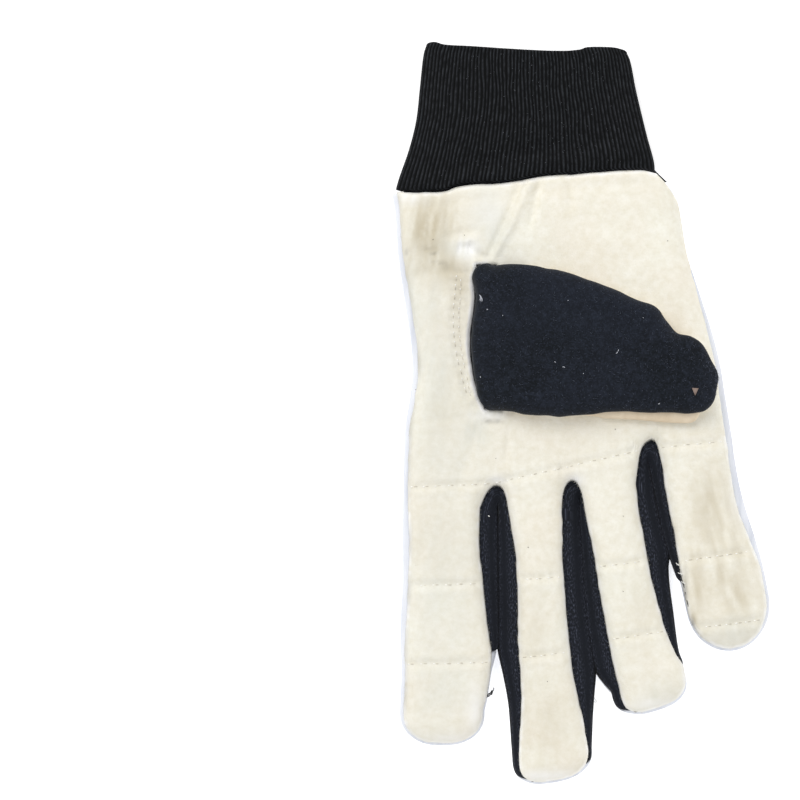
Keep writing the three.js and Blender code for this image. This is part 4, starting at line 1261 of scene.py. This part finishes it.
def thumb_grid():
    """The thumb's grid: from one long edge to the other, domed over its rolled edge, with lumps and soft
    hollows."""
    low, high, heights = thumb_lines(0)
    share = ((1 - np.cos(np.linspace(0, np.pi, THUMB_ACROSS + 1))) / 2)[None]
    plan = thumb_place(blend(low[:, None], high[:, None], share[..., None]), share)
    body = low[:, 0] > THUMB_BODY
    rim = np.concatenate([plan[body, 0], plan[body, -1][::-1]])
    x, y = plan[..., 0], plan[..., 1]
    edge, _ = near(rim, x, y)
    z = blend(heights[:, 1:], heights[:, :1], dome(edge / THUMB_ROLL))
    puff = smooth(edge, 0, 5) * smooth(low[:, 0], 2, 10)[:, None]
    z = z + puff * (0.5 * noise(x, y, 15, 11) + 0.2 * noise(x, y, 5, 12))
    return np.stack([x, y, z], -1), np.stack([x, y], -1)


def brushed_knit(name, face, lit, deep):
    """Brushed black knit: loop-back cotton fleece with its hairs raised. It gives the eye a blue-black felt
    with fine flecks every millimetre or so and a bloom towards its edges."""
    material = new_material(name)
    tree = material.node_tree
    place = add(tree, "TexCoord").outputs["Object"]
    fine = grain(tree, place, 0.55, 2.0, Roughness=0.7)
    slubs = grain(tree, place, 1.8, 2.0, Distortion=0.8)
    clouds = part_of(tree, grain(tree, place, 26, 2.0), 0.35, 0.65)
    colour = mix(tree, clouds, linear(deep), linear(face))
    colour = mix(tree, part_of(tree, slubs, 0.45, 0.8, 0.5), colour, linear(lit))
    surface(tree, {
        "Base Color": mix(tree, part_of(tree, fine, 0.5, 0.78), colour, linear(lit)),
        "Roughness": 0.95,
        "Specular IOR Level": 0.2,
        "Sheen Weight": 0.08,
        "Sheen Roughness": 0.4,
        "Normal": bump(tree, fine, 0.6, 0.25),
    })
    return material


grid, spots = thumb_grid()
points, faces, flat = weld([grid], [True], [spots])
points = sway(points, *THUMB_SWAY)
points, faces, flat = thicken(points, faces, flat, KNIT_WALL)
make_piece(
    "thumb_knit", points, faces, brushed_knit("black_brushed_fleece", "#171b23", "#2b313e", "#101419"),
    "black_thumb_knit", flat, nodes=["thumb_back"],
)


# Thumb front: chamois, the side of the thumb that lies on the palm. Its edges roll up to the black knit and
# show below it, in shadow.
THUMB_FRONT_WALL = 1.6
THUMB_FRONT_Z = PALM_TOP + 0.4
THUMB_FRONT_FIRST = 10
THUMB_EDGE_Z = 18.5
THUMB_FRONT_ACROSS = 20
# How far the chamois reaches past the black knit's lower edge, by place along the thumb
THUMB_FRONT_PROUD = table("along proud", [
    [0, -0.3],
    [38, -0.3],
    [44, 1.0],
    [48, 2.2],
    [60, 2.9],
    [76, 3.6],
    [79, 2.8],
    [81.5, -0.3],
    [90, -0.3],
])

low, high, _ = thumb_lines(THUMB_FRONT_FIRST)
share = np.linspace(0, 1, THUMB_FRONT_ACROSS + 1)[None]
front_plan = thumb_place(blend(low[:, None], high[:, None], share[..., None]), share)
front_line = np.concatenate([front_plan[:, 0], front_plan[:, -1][::-1]])
front_out = sideways(front_line)
front_base = front_line - front_out * TUCK
count = len(low)
front_proud = read(THUMB_FRONT_PROUD, "along", "proud", front_line[:, 0] - THUMB_ROOT_X)
front_proud[count:] = THUMB_FRONT_PROUD["proud"][0]
front_flat = blend(front_base[:count, None], front_base[count:][::-1][:, None], share[..., None])
front_flat = np.concatenate([front_flat, np.full((*front_flat.shape[:2], 1), THUMB_FRONT_Z)], -1)
ones = np.ones(len(front_line))
front_roll = rolled_edge(
    front_base, front_out, THUMB_FRONT_Z, TUCK + front_proud,
    (THUMB_EDGE_Z - GAP - THUMB_FRONT_Z) / 2 * ones, np.pi / 2 * ones, ROLL_STEPS,
)
points, faces, _ = weld([front_flat, front_roll], [False, True])
points, faces, _ = thicken(points, faces, None, THUMB_FRONT_WALL)
make_piece(
    "thumb_leather", points, faces, chamois("chamois_napped_tan", "#efe1ca", "#e7d5ba", "#e8e2d8", 0.5),
    "chamois_thumb", nodes=["thumb_front"],
)


# Cuff: a flattened tube of black rib knit, doubled at its top, its lower end sewn inside the hand. The ribs
# are real ridges, 122 round the tube. Its foot puckers in soft bands above the seam, and at the right it
# spreads past the leather's shoulder.
CUFF_SIDES = table("v left right", [
    [0, -65.3, 25.9],
    [0.1, -63.9, 25.6],
    [0.3, -60.4, 23.3],
    [0.5, -57.8, 21.2],
    [0.7, -56.6, 19.2],
    [0.93, -55.2, 17.2],
    [1, -53.8, 15.6],
])
CUFF_TOP = table("x y", [
    [-60, 127.4],
    [-55, 129.6],
    [-51.5, 130.3],
    [-48, 129.3],
    [-38, 128.6],
    [-20, 127.3],
    [-8, 126.8],
    [-1, 127.2],
    [2, 128.1],
    [9, 128.2],
    [13, 127.8],
    [24, 124.5],
])
CUFF_WALL = 2.0
CUFF_RIBS = 122
CUFF_RIB_COLUMNS = 5
CUFF_RIB_DEPTH = 0.5
CUFF_TUCK = 3.0
CUFF_TUCK_INSET = 3.2
CUFF_FOOT_SPREAD = 4.3
CUFF_FOOT_TOP = 1.1
CUFF_HEIGHT_SEAM = 11.2
CUFF_HEIGHT_TOP = 10.4
CUFF_ROUNDNESS = 2.6
CUFF_TUCK_TOP = PALM_TOP - CHAMOIS_WALL - GAP - 0.4
CUFF_ROWS = 64
CUFF_HEM_ROWS = 9
CUFF_INSIDE_ROWS = 16
CUFF_BAND = 1.2


def cuff_section(angle, left, right, floor, ceiling):
    """A squarish oval between four sides: sideways by the cosine, up by the sine to a power below one."""
    tall = np.sign(np.sin(angle)) * np.abs(np.sin(angle)) ** (2 / CUFF_ROUNDNESS)
    return blend(left, right, (np.cos(angle) + 1) / 2), blend(floor, ceiling, (tall + 1) / 2), tall


def even_angles(count):
    """Angles round the cuff's oval that are equal steps of its length apart."""
    fine = np.linspace(0, 2 * np.pi, 4000)
    x, z, _ = cuff_section(fine, -40.0, 40.0, 0.0, 11.0)
    gone = lengths(np.stack([x, z], 1))
    return np.interp(np.linspace(0, gone[-1], count + 1), gone, fine)


def cuff_grid():
    """The cuff's grid, row by row: up its outside from the tucked foot, over the round hem and down inside.
    A row's inset moves it inwards across the oval, and the ribs are cosines round the outside."""
    foot = np.array([
        [-CUFF_TUCK, 0, 1, 0], [-1.5, 0, 1, 0], [0.3, 0, 1, 0], [0.7, 0, 0.5, 0], [CUFF_FOOT_TOP, 0, 0.12, 0],
    ])
    outside = np.zeros((CUFF_ROWS, 4))
    outside[:, 1] = np.linspace(0.035, 0.965, CUFF_ROWS)
    turn = np.linspace(0, np.pi, CUFF_HEM_ROWS)
    round_hem = CUFF_WALL / 2 * np.stack([np.sin(turn), 1 - np.cos(turn)])
    hem = np.stack([round_hem[0], np.full(CUFF_HEM_ROWS, 0.975), np.zeros(CUFF_HEM_ROWS), round_hem[1]], 1)
    inside = np.zeros((CUFF_INSIDE_ROWS, 4))
    inside[:, 1], inside[:, 3] = np.linspace(0.95, 0.03, CUFF_INSIDE_ROWS), CUFF_WALL
    sole = np.array([[0.7, 0, 0.5, CUFF_WALL], [0.3, 0, 1, CUFF_WALL], [-CUFF_TUCK, 0, 1, CUFF_WALL]])
    rows = np.concatenate([foot, outside, hem, inside, sole, foot[:1]])
    rise, share, tucked, inset = [column[:, None] for column in rows.T]
    angle = even_angles(CUFF_RIBS * CUFF_RIB_COLUMNS)[None]
    turns = np.linspace(0, CUFF_RIBS, angle.size)[None]
    rib = (0.5 - 0.5 * np.cos(2 * np.pi * turns)) ** 1.4 * CUFF_RIB_DEPTH * (inset < CUFF_WALL)
    left = read(CUFF_SIDES, "v", "left", share) + tucked * CUFF_TUCK_INSET
    spread = np.clip((CUFF_FOOT_TOP - rise) / (CUFF_FOOT_TOP + CUFF_TUCK), 0, 1) * (tucked > 0)
    right = read(CUFF_SIDES, "v", "right", share) + spread * CUFF_FOOT_SPREAD
    floor = tucked * (BACK_WALL + GAP)
    ceiling = blend(blend(CUFF_HEIGHT_SEAM, CUFF_HEIGHT_TOP, share), CUFF_TUCK_TOP, tucked)
    depth = inset + rib
    x, z, tall = cuff_section(angle, left + depth, right - depth, floor + depth, ceiling - depth)
    seam = cuff_seam(x)
    y = blend(seam + rise * (share == 0), read(CUFF_TOP, "x", "y", x), share) + rise * (share > 0)
    above = np.clip(tall, 0, 1) * (1 - tucked)
    height = y - seam
    bands = CUFF_BAND * (bell(height - 5.5 - 0.08 * x, 3) - bell(height - 12 - 0.1 * x, 3))
    z = z + above * (bands * bell(x + 18, 30) + 0.45 * noise(x, y, 14, 21) + 0.15 * noise(x, y, 5, 22))
    lean = 0.55 * noise(x, y, 16, 23) + 0.3 * noise(x, y / 3, 2.5, 24)
    x = x + above * lean * smooth(np.minimum(x - left, right - x), 0, 6)
    plan = np.stack([x, y, z], -1)
    plan[:, -1] = plan[:, 0]
    round_spots = turns + np.zeros_like(x)
    return plan, np.stack([round_spots, lengths_down(y)], -1)


def lengths_down(y):
    """How far down its column each point is, in millimetres."""
    return np.concatenate([np.zeros((1, y.shape[1])), np.cumsum(np.abs(np.diff(y, axis=0)), axis=0)])


def rib_knit(name, ridge_lit, glint, valley_shade):
    """Black rib knit: cotton and elastane, each rib a column of loops. It gives the eye soft charcoal ridges
    of painted light over near-black furrows of painted shade, broken up by painted glints on loops drawn 1 mm
    long so that they show."""
    material = new_material(name)
    tree = material.node_tree
    place = add(tree, "UVMap", uv_map="cloth").outputs[0]
    turn = product(tree, add(tree, "SeparateXYZ", {0: place}).outputs[0], 2 * math.pi)
    wave = add(tree, "Math", {0: turn}, operation="COSINE").outputs[0]
    # Painted light and shade: ridges lighter, furrows near-black, and glints on the crests.
    crest_light = part_of(tree, wave, -0.4, 1.0)
    lengthwise = add(tree, "Mapping", {"Vector": place, "Scale": (1.0, 0.28, 1.0)})
    loops = grain(tree, lengthwise.outputs[0], 1 / 1.3, 4.0, 1, Roughness=0.75)
    broken = product(tree, part_of(tree, loops, 0.4, 0.75), crest_light)
    colour = mix(tree, crest_light, linear(valley_shade), linear(ridge_lit))
    surface(tree, {
        "Base Color": mix(tree, broken, colour, linear(glint)),
        "Roughness": 0.92,
        "Specular IOR Level": 0.2,
        "Sheen Weight": 0.05,
        "Sheen Roughness": 0.4,
        "Normal": bump(tree, loops, 0.5, 0.25),
    })
    return material


grid, spots = cuff_grid()
points, faces, flat = weld([grid], [True], [spots])
make_piece(
    "cuff_rib", points, faces, rib_knit("black_cotton_rib", "#131518", "#3b3e43", "#050607"),
    "black_rib", flat, nodes=["cuff"],
)


# Quilting thread: cream cotton, sewn through leather and padding in rows of running stitch. Each stitch
# shows as a short dash sunk in its groove, coloured grey as painted shade, and a bright knot of leather and
# thread at its end, coloured white as painted highlight.
def strands(paths, radius, sides):
    """Tubes along paths, an array of paths by points by x, y, z, thinned to nothing at both ends: each ring
    is a circle across the path, its radius times the fourth root of one less the place's fourth power."""
    along_path = np.gradient(paths, axis=1)
    along_path /= np.linalg.norm(along_path, axis=2, keepdims=True)
    side = np.cross(along_path, [0.02, 0.03, 1.0])
    side /= np.linalg.norm(side, axis=2, keepdims=True)
    up = np.cross(side, along_path)
    angle = np.linspace(0, 2 * np.pi, sides + 1)
    place = np.linspace(-1, 1, paths.shape[1])
    thick = radius * (1 - place ** 4) ** 0.25
    ring = side[:, :, None] * np.cos(angle)[:, None] + up[:, :, None] * np.sin(angle)[:, None]
    ring[:, :, -1] = ring[:, :, 0]
    grids = paths[:, :, None] + ring * thick[None, :, None, None]
    points, faces, _ = weld(list(grids), [True] * len(grids))
    return points, faces


def thread(name, colour):
    """Cotton thread: two plies, matt. It gives the eye one even tone with a little roughness."""
    material = new_material(name)
    surface(material.node_tree, {"Base Color": linear(colour), "Roughness": 0.85, "Sheen Weight": 0.1})
    return material


DASH = 1.4
KNOT = 0.6
DASH_RADIUS = 0.14
DASH_SINK = 0.02
KNOT_RADIUS = 0.2
STITCH_POINTS = 7
STITCH_DIP = 0.3
STITCH_MARGIN = 1.0


def stitch_paths(line, pitch, start, length, quilts, seed):
    """Paths of the stitches in a row: one every pitch along the line, a little uneven, each a short length
    that dips into the leather at its ends. Stitches off the leather's edge are left out."""
    draw = np.random.default_rng(seed)
    total = lengths(line)[-1]
    starts = np.arange(1.2, total - length, pitch) + start
    starts = starts + draw.uniform(-0.25, 0.25, len(starts))
    share = np.linspace(0, 1, STITCH_POINTS)
    at = starts[:, None] + share * length * draw.uniform(0.75, 1.2, (len(starts), 1))
    gone = lengths(line)
    x, y = [np.interp(at, gone, line[:, c]) + draw.uniform(-0.12, 0.12, (len(starts), 1)) for c in (0, 1)]
    edge, _ = near(palm_plan["outline"], x, y)
    hem, _ = near(palm_plan["hole"], x, y)
    middle = STITCH_POINTS // 2
    inside = np.array([on_palm(px, py) for px, py in zip(x[:, middle], y[:, middle])], bool)
    keep = inside & (edge.min(axis=1) > STITCH_MARGIN) & (hem.min(axis=1) > STITCH_MARGIN)
    z = palm_height(x, y, quilts) + DASH_RADIUS - DASH_SINK - STITCH_DIP * (2 * share - 1) ** 4
    return np.stack([x, y, z], -1)[keep]


def on_palm(x, y):
    """Whether a place is inside the palm's outline: a line to the right crosses it an odd number of times."""
    line = np.concatenate([palm_plan["outline"], palm_plan["outline"][:1]])
    (ax, ay), (bx, by) = line[:-1].T, line[1:].T
    cross = (ay > y) != (by > y)
    at = ax + (y - ay) / np.where(cross, by - ay, 1) * (bx - ax)
    return (cross & (at > x)).sum() % 2 == 1


rows = [(PALM_QUILT, 4.2, [PALM_QUILT])]
for quilts, pitch in zip(FINGER_QUILTS, (4.3, 3.8, 4.0, 3.5)):
    rows += [(line, pitch, [PALM_QUILT, *quilts]) for line in quilts]
dashes, knots = [], []
for number, (line, pitch, quilts) in enumerate(rows):
    dashes.append(stitch_paths(line, pitch, 0.9, DASH, quilts, 60 + number))
    knots.append(stitch_paths(line, pitch, 0, KNOT, quilts, 60 + number))
for number, line in enumerate(THUMB_ROWS):
    dashes.append(stitch_paths(line, THUMB_ROW_PITCH, 0.9 + number, DASH, [PALM_QUILT], 80 + number))
    knots.append(stitch_paths(line, THUMB_ROW_PITCH, number, KNOT, [PALM_QUILT], 80 + number))
# One cream thread in two painted tones: dashes darker for the shade in the groove, knots white for the lit
# pucker.
make_piece(
    "quilt_stitches", *strands(np.concatenate(dashes), DASH_RADIUS, 6),
    thread("cream_thread_painted_shade", "#d0cabc"), "chamois_palm",
)
make_piece(
    "stitch_knots", *strands(np.concatenate(knots), KNOT_RADIUS, 6), thread("cream_thread_painted_highlight", "#fffefa"),
    "chamois_palm",
)


# Thumb fuzz: raised hairs of the thumb's black fleece, part of its polyester yarn. They stand a little off
# its surface and catch the light.
FUZZ_COUNT = 900
FUZZ_RADIUS = 0.045


def nearest_height(grid, x, y):
    """The height of a grid's point nearest to each place."""
    points = grid.reshape(-1, 3)
    gaps = (points[:, 0] - x[:, None]) ** 2 + (points[:, 1] - y[:, None]) ** 2
    return points[np.argmin(gaps, axis=1), 2]


def hairs(x, y, z, length, draw):
    """Paths of loose hairs: four points each, in a random direction, bent sideways, lifted in the middle."""
    turn = draw.uniform(0, 2 * np.pi, (len(x), 1))
    bend = draw.uniform(-0.9, 0.9, (len(x), 1))
    place = np.linspace(-0.5, 0.5, 4)
    reach = length[:, None] * place
    heading = turn + bend * place
    lift = 0.12 + 0.25 * length[:, None] * (0.25 - place ** 2)
    plan = [x[:, None] + reach * np.cos(heading), y[:, None] + reach * np.sin(heading)]
    return np.stack([*plan, z[:, None] + lift], -1)


thumb_surface, _ = thumb_grid()
draw = np.random.default_rng(7)
fuzz_row = draw.integers(0, len(thumb_surface) - 12, FUZZ_COUNT)
fuzz_column = draw.integers(4, THUMB_ACROSS - 4, FUZZ_COUNT)
fuzz_roots = thumb_surface[10:][fuzz_row, fuzz_column]
fuzz = hairs(*fuzz_roots.T, draw.uniform(0.5, 1.3, FUZZ_COUNT), draw)
make_piece(
    "thumb_fuzz", *strands(fuzz, FUZZ_RADIUS, 3), thread("black_fleece_hair", "#4d5567"), "black_thumb_knit",
)


# Edge nap: short fibres of the chamois itself, which stand out from its cut edge all round the palm and
# the fingers.
NAP_COUNT = 1200
NAP_RADIUS = 0.035

edge_line = palm_plan["outline"]
edge_gone = lengths(edge_line)
at = draw.uniform(0, edge_gone[-1], NAP_COUNT)
root_x, root_y = [np.interp(at, edge_gone, edge_line[:, c])[:, None] for c in (0, 1)]
out_x, out_y = [np.interp(at, edge_gone, sideways(edge_line)[:, c])[:, None] for c in (0, 1)]
place = np.linspace(0, 1, 4)
reach = draw.uniform(0.15, 0.5, (NAP_COUNT, 1)) * place
turn = draw.uniform(-1, 1, (NAP_COUNT, 1))
nap = np.stack([
    root_x + out_x * reach - out_y * reach * turn,
    root_y + out_y * reach + out_x * reach * turn,
    SEAM_Z + draw.uniform(0.3, 1.6, (NAP_COUNT, 1)) + 0.2 * place,
], -1)
make_piece("edge_nap", *strands(nap, NAP_RADIUS, 3), thread("chamois_fibre", "#d8d3c6"), "chamois_palm")


# Lint: bits of white cotton fluff, caught loose in the thumb's fleece. Each is a place, a length and a
# direction in degrees.
LINT_RADIUS = 0.12
LINT_LIFT = 0.2
LINT = table("x y length turn", [
    [-35.5, 40.1, 2.4, 92],
    [-35.2, 39.7, 2.6, 86],
    [-34.9, 39.4, 1.9, 95],
    [-33.1, 35.9, 0.6, 20],
    [-27.8, 33.8, 0.35, 120],
    [-9.6, 17.6, 0.6, 150],
    [-6.6, 15.9, 1.1, 165],
    [-5.1, 39.0, 0.4, 10],
    [0.2, 13.6, 0.4, 75],
    [11.9, 20.8, 1.0, 50],
    [12.4, 21.6, 0.8, 65],
    [-35.5, 12.4, 0.6, 100],
    [26.6, 3.1, 0.8, 30],
    [-35.0, 5.3, 0.4, 0],
    [21, 33, 0.3, 110],
])

place = np.linspace(-0.5, 0.5, 6)
turn = np.radians(LINT["turn"])[:, None] + 0.8 * place
reach = LINT["length"][:, None] * place
x = LINT["x"][:, None] + reach * np.cos(turn)
y = LINT["y"][:, None] + reach * np.sin(turn)
z = nearest_height(thumb_surface, LINT["x"], LINT["y"])[:, None] + LINT_LIFT + 0 * place
lint = np.stack([x, y, z], -1)
make_piece("lint", *strands(lint, LINT_RADIUS, 5), thread("white_lint", "#c9ccd6"), "white_knit")


# Cuff specks: grey textile fibres, loose between the ribs on the cuff's upper side. They keep the black
# knit from looking new.
CUFF_SPECKS = 160
CUFF_SPECK_RADIUS = 0.05

cuff_surface, _ = cuff_grid()
cuff_columns = CUFF_RIBS * CUFF_RIB_COLUMNS
cuff_roots = cuff_surface[8:68, cuff_columns // 16:cuff_columns * 7 // 16].reshape(-1, 3)
cuff_roots = cuff_roots[draw.integers(0, len(cuff_roots), CUFF_SPECKS)]
cuff_fibres = hairs(*cuff_roots.T, draw.uniform(0.3, 0.8, CUFF_SPECKS), draw)
make_piece(
    "cuff_specks", *strands(cuff_fibres, CUFF_SPECK_RADIUS, 3), thread("grey_fibre", "#70747c"), "black_rib",
)


# Soil specks: crumbs of dark soil that cling to the nap of the palm and the fingers. Each is a place.
# They lie on the quilted leather's own height.
SOIL_RADIUS = 0.1
SOIL_SPECKS = table("x y", [
    [11.7, -5.8],
    [14.5, -36.2],
    [14.5, -62.5],
    [-18.7, -47.1],
    [-58, 8],
    [-30, -16],
    [30, 60],
    [-12, -94],
    [-41, 62],
    [-52, 60.5],
])

x, y = SOIL_SPECKS["x"], SOIL_SPECKS["y"]
specks = hairs(x, y, palm_height(x, y, [PALM_QUILT]), draw.uniform(0.35, 0.6, len(x)), draw)
make_piece("soil_specks", *strands(specks, SOIL_RADIUS, 4), thread("dark_soil", "#5a5349"), "chamois_palm")


# Loose threads: black ones that fray from the index and little fingers' strips, and white ends of seam thread
# at the little finger's inner edge, in the first slot and beside the ring finger. Each lies where it came out
# of its seam, and is given by six points.
THREAD_RADIUS = 0.16
THREAD_STEPS = 25
THREADS = {
    "black": [
        [(-31.6, -81, 6), (-31.9, -84.5, 6.5), (-32.6, -88, 6),
         (-32.9, -91.5, 5.5), (-33.2, -95, 6), (-33.6, -98, 6.5)],
        [(-33.4, -98.2, 6.5), (-32.6, -99.6, 6.5), (-31.6, -98.6, 6.8),
         (-31.2, -97.4, 6.5), (-31.9, -98.4, 6.2), (-33.2, -100.2, 6)],
        [(-33.2, -99.5, 6.2), (-32.2, -98.4, 6.9), (-31.4, -98.9, 6.6),
         (-31, -97.8, 6.3), (-30.6, -97, 6.2), (-30.8, -96.4, 6.1)],
        [(33.9, -54.5, 9.2), (34.6, -56.6, 9.8), (35.1, -58.4, 9.2),
         (35.7, -60.2, 9.8), (36.2, -62, 9.2), (36.5, -63.6, 9.6)],
        [(36.4, -62.8, 9.6), (36.9, -65, 9.2), (37.2, -66.8, 9.7),
         (37.6, -68.4, 9.2), (38.1, -69.9, 9.6), (38.6, -71.4, 9.2)],
        [(38.5, -71.2, 9.4), (39.3, -72.5, 10), (40.2, -74, 9.6),
         (41.1, -75.4, 10), (42, -76.4, 9.6), (43, -77.2, 9.4)],
    ],
    "white": [
        [(33.1, -52.6, 9.4), (33.4, -52.9, 9.9), (33.6, -53.3, 9.6),
         (33.9, -53.2, 9.9), (34.1, -53.5, 9.7), (34.3, -53.4, 9.4)],
        [(33.8, -56, 9.4), (34.2, -56.3, 9.9), (34.6, -56.2, 10.2),
         (34.9, -56.6, 10.2), (35.2, -56.5, 10), (35.4, -56.9, 9.8)],
        [(35, -59, 9.4), (35.3, -59.4, 9.9), (35.7, -59.3, 10.2),
         (35.9, -59.8, 10.1), (36.3, -59.7, 10), (36.5, -60, 9.8)],
        [(-32.6, -36.1, 7.5), (-32.5, -36.2, 7.7), (-32.4, -36.3, 7.7),
         (-32.3, -36.2, 7.7), (-32.2, -36.4, 7.6), (-32.1, -36.5, 7.4)],
        [(4.6, -100, 0.6), (5.2, -101, 0.9), (5.7, -101.6, 0.6),
         (5.2, -102, 0.8), (4.9, -101.6, 0.6), (4.7, -101.9, 0.5)],
    ],
}

for colour, tone in (("black", "#17181c"), ("white", "#f4f4f0")):
    at = np.linspace(0, 5, THREAD_STEPS + 1)
    paths = np.array([curve(np.array(points, float), at) for points in THREADS[colour]])
    make_piece(
        "loose_" + colour + "_threads", *strands(paths, THREAD_RADIUS, 6),
        thread(colour + "_seam_thread", tone), colour + "_knit",
    )


# Fleck: a three-cornered scrap of brown leather. It clings to the thumb's fleece near the tip, held by
# nothing but the hairs.
FLECK = [(38.0, 8.6), (40.3, 8.5), (39.1, 5.9)]
FLECK_THICK = 0.3

fleck_top = nearest_height(thumb_surface, *np.array(FLECK).T).max() + FLECK_THICK
fleck_points = np.array([(x, y, z) for z in (fleck_top, fleck_top - 2 * FLECK_THICK) for x, y in FLECK])
fleck_faces = np.array([
    (0, 2, 1), (3, 4, 5), (0, 1, 4), (0, 4, 3), (1, 2, 5), (1, 5, 4), (2, 0, 3), (2, 3, 5),
])
make_piece(
    "leather_fleck", fleck_points, fleck_faces, thread("brown_leather_scrap", "#8d7a70"), "black_thumb_knit",
)
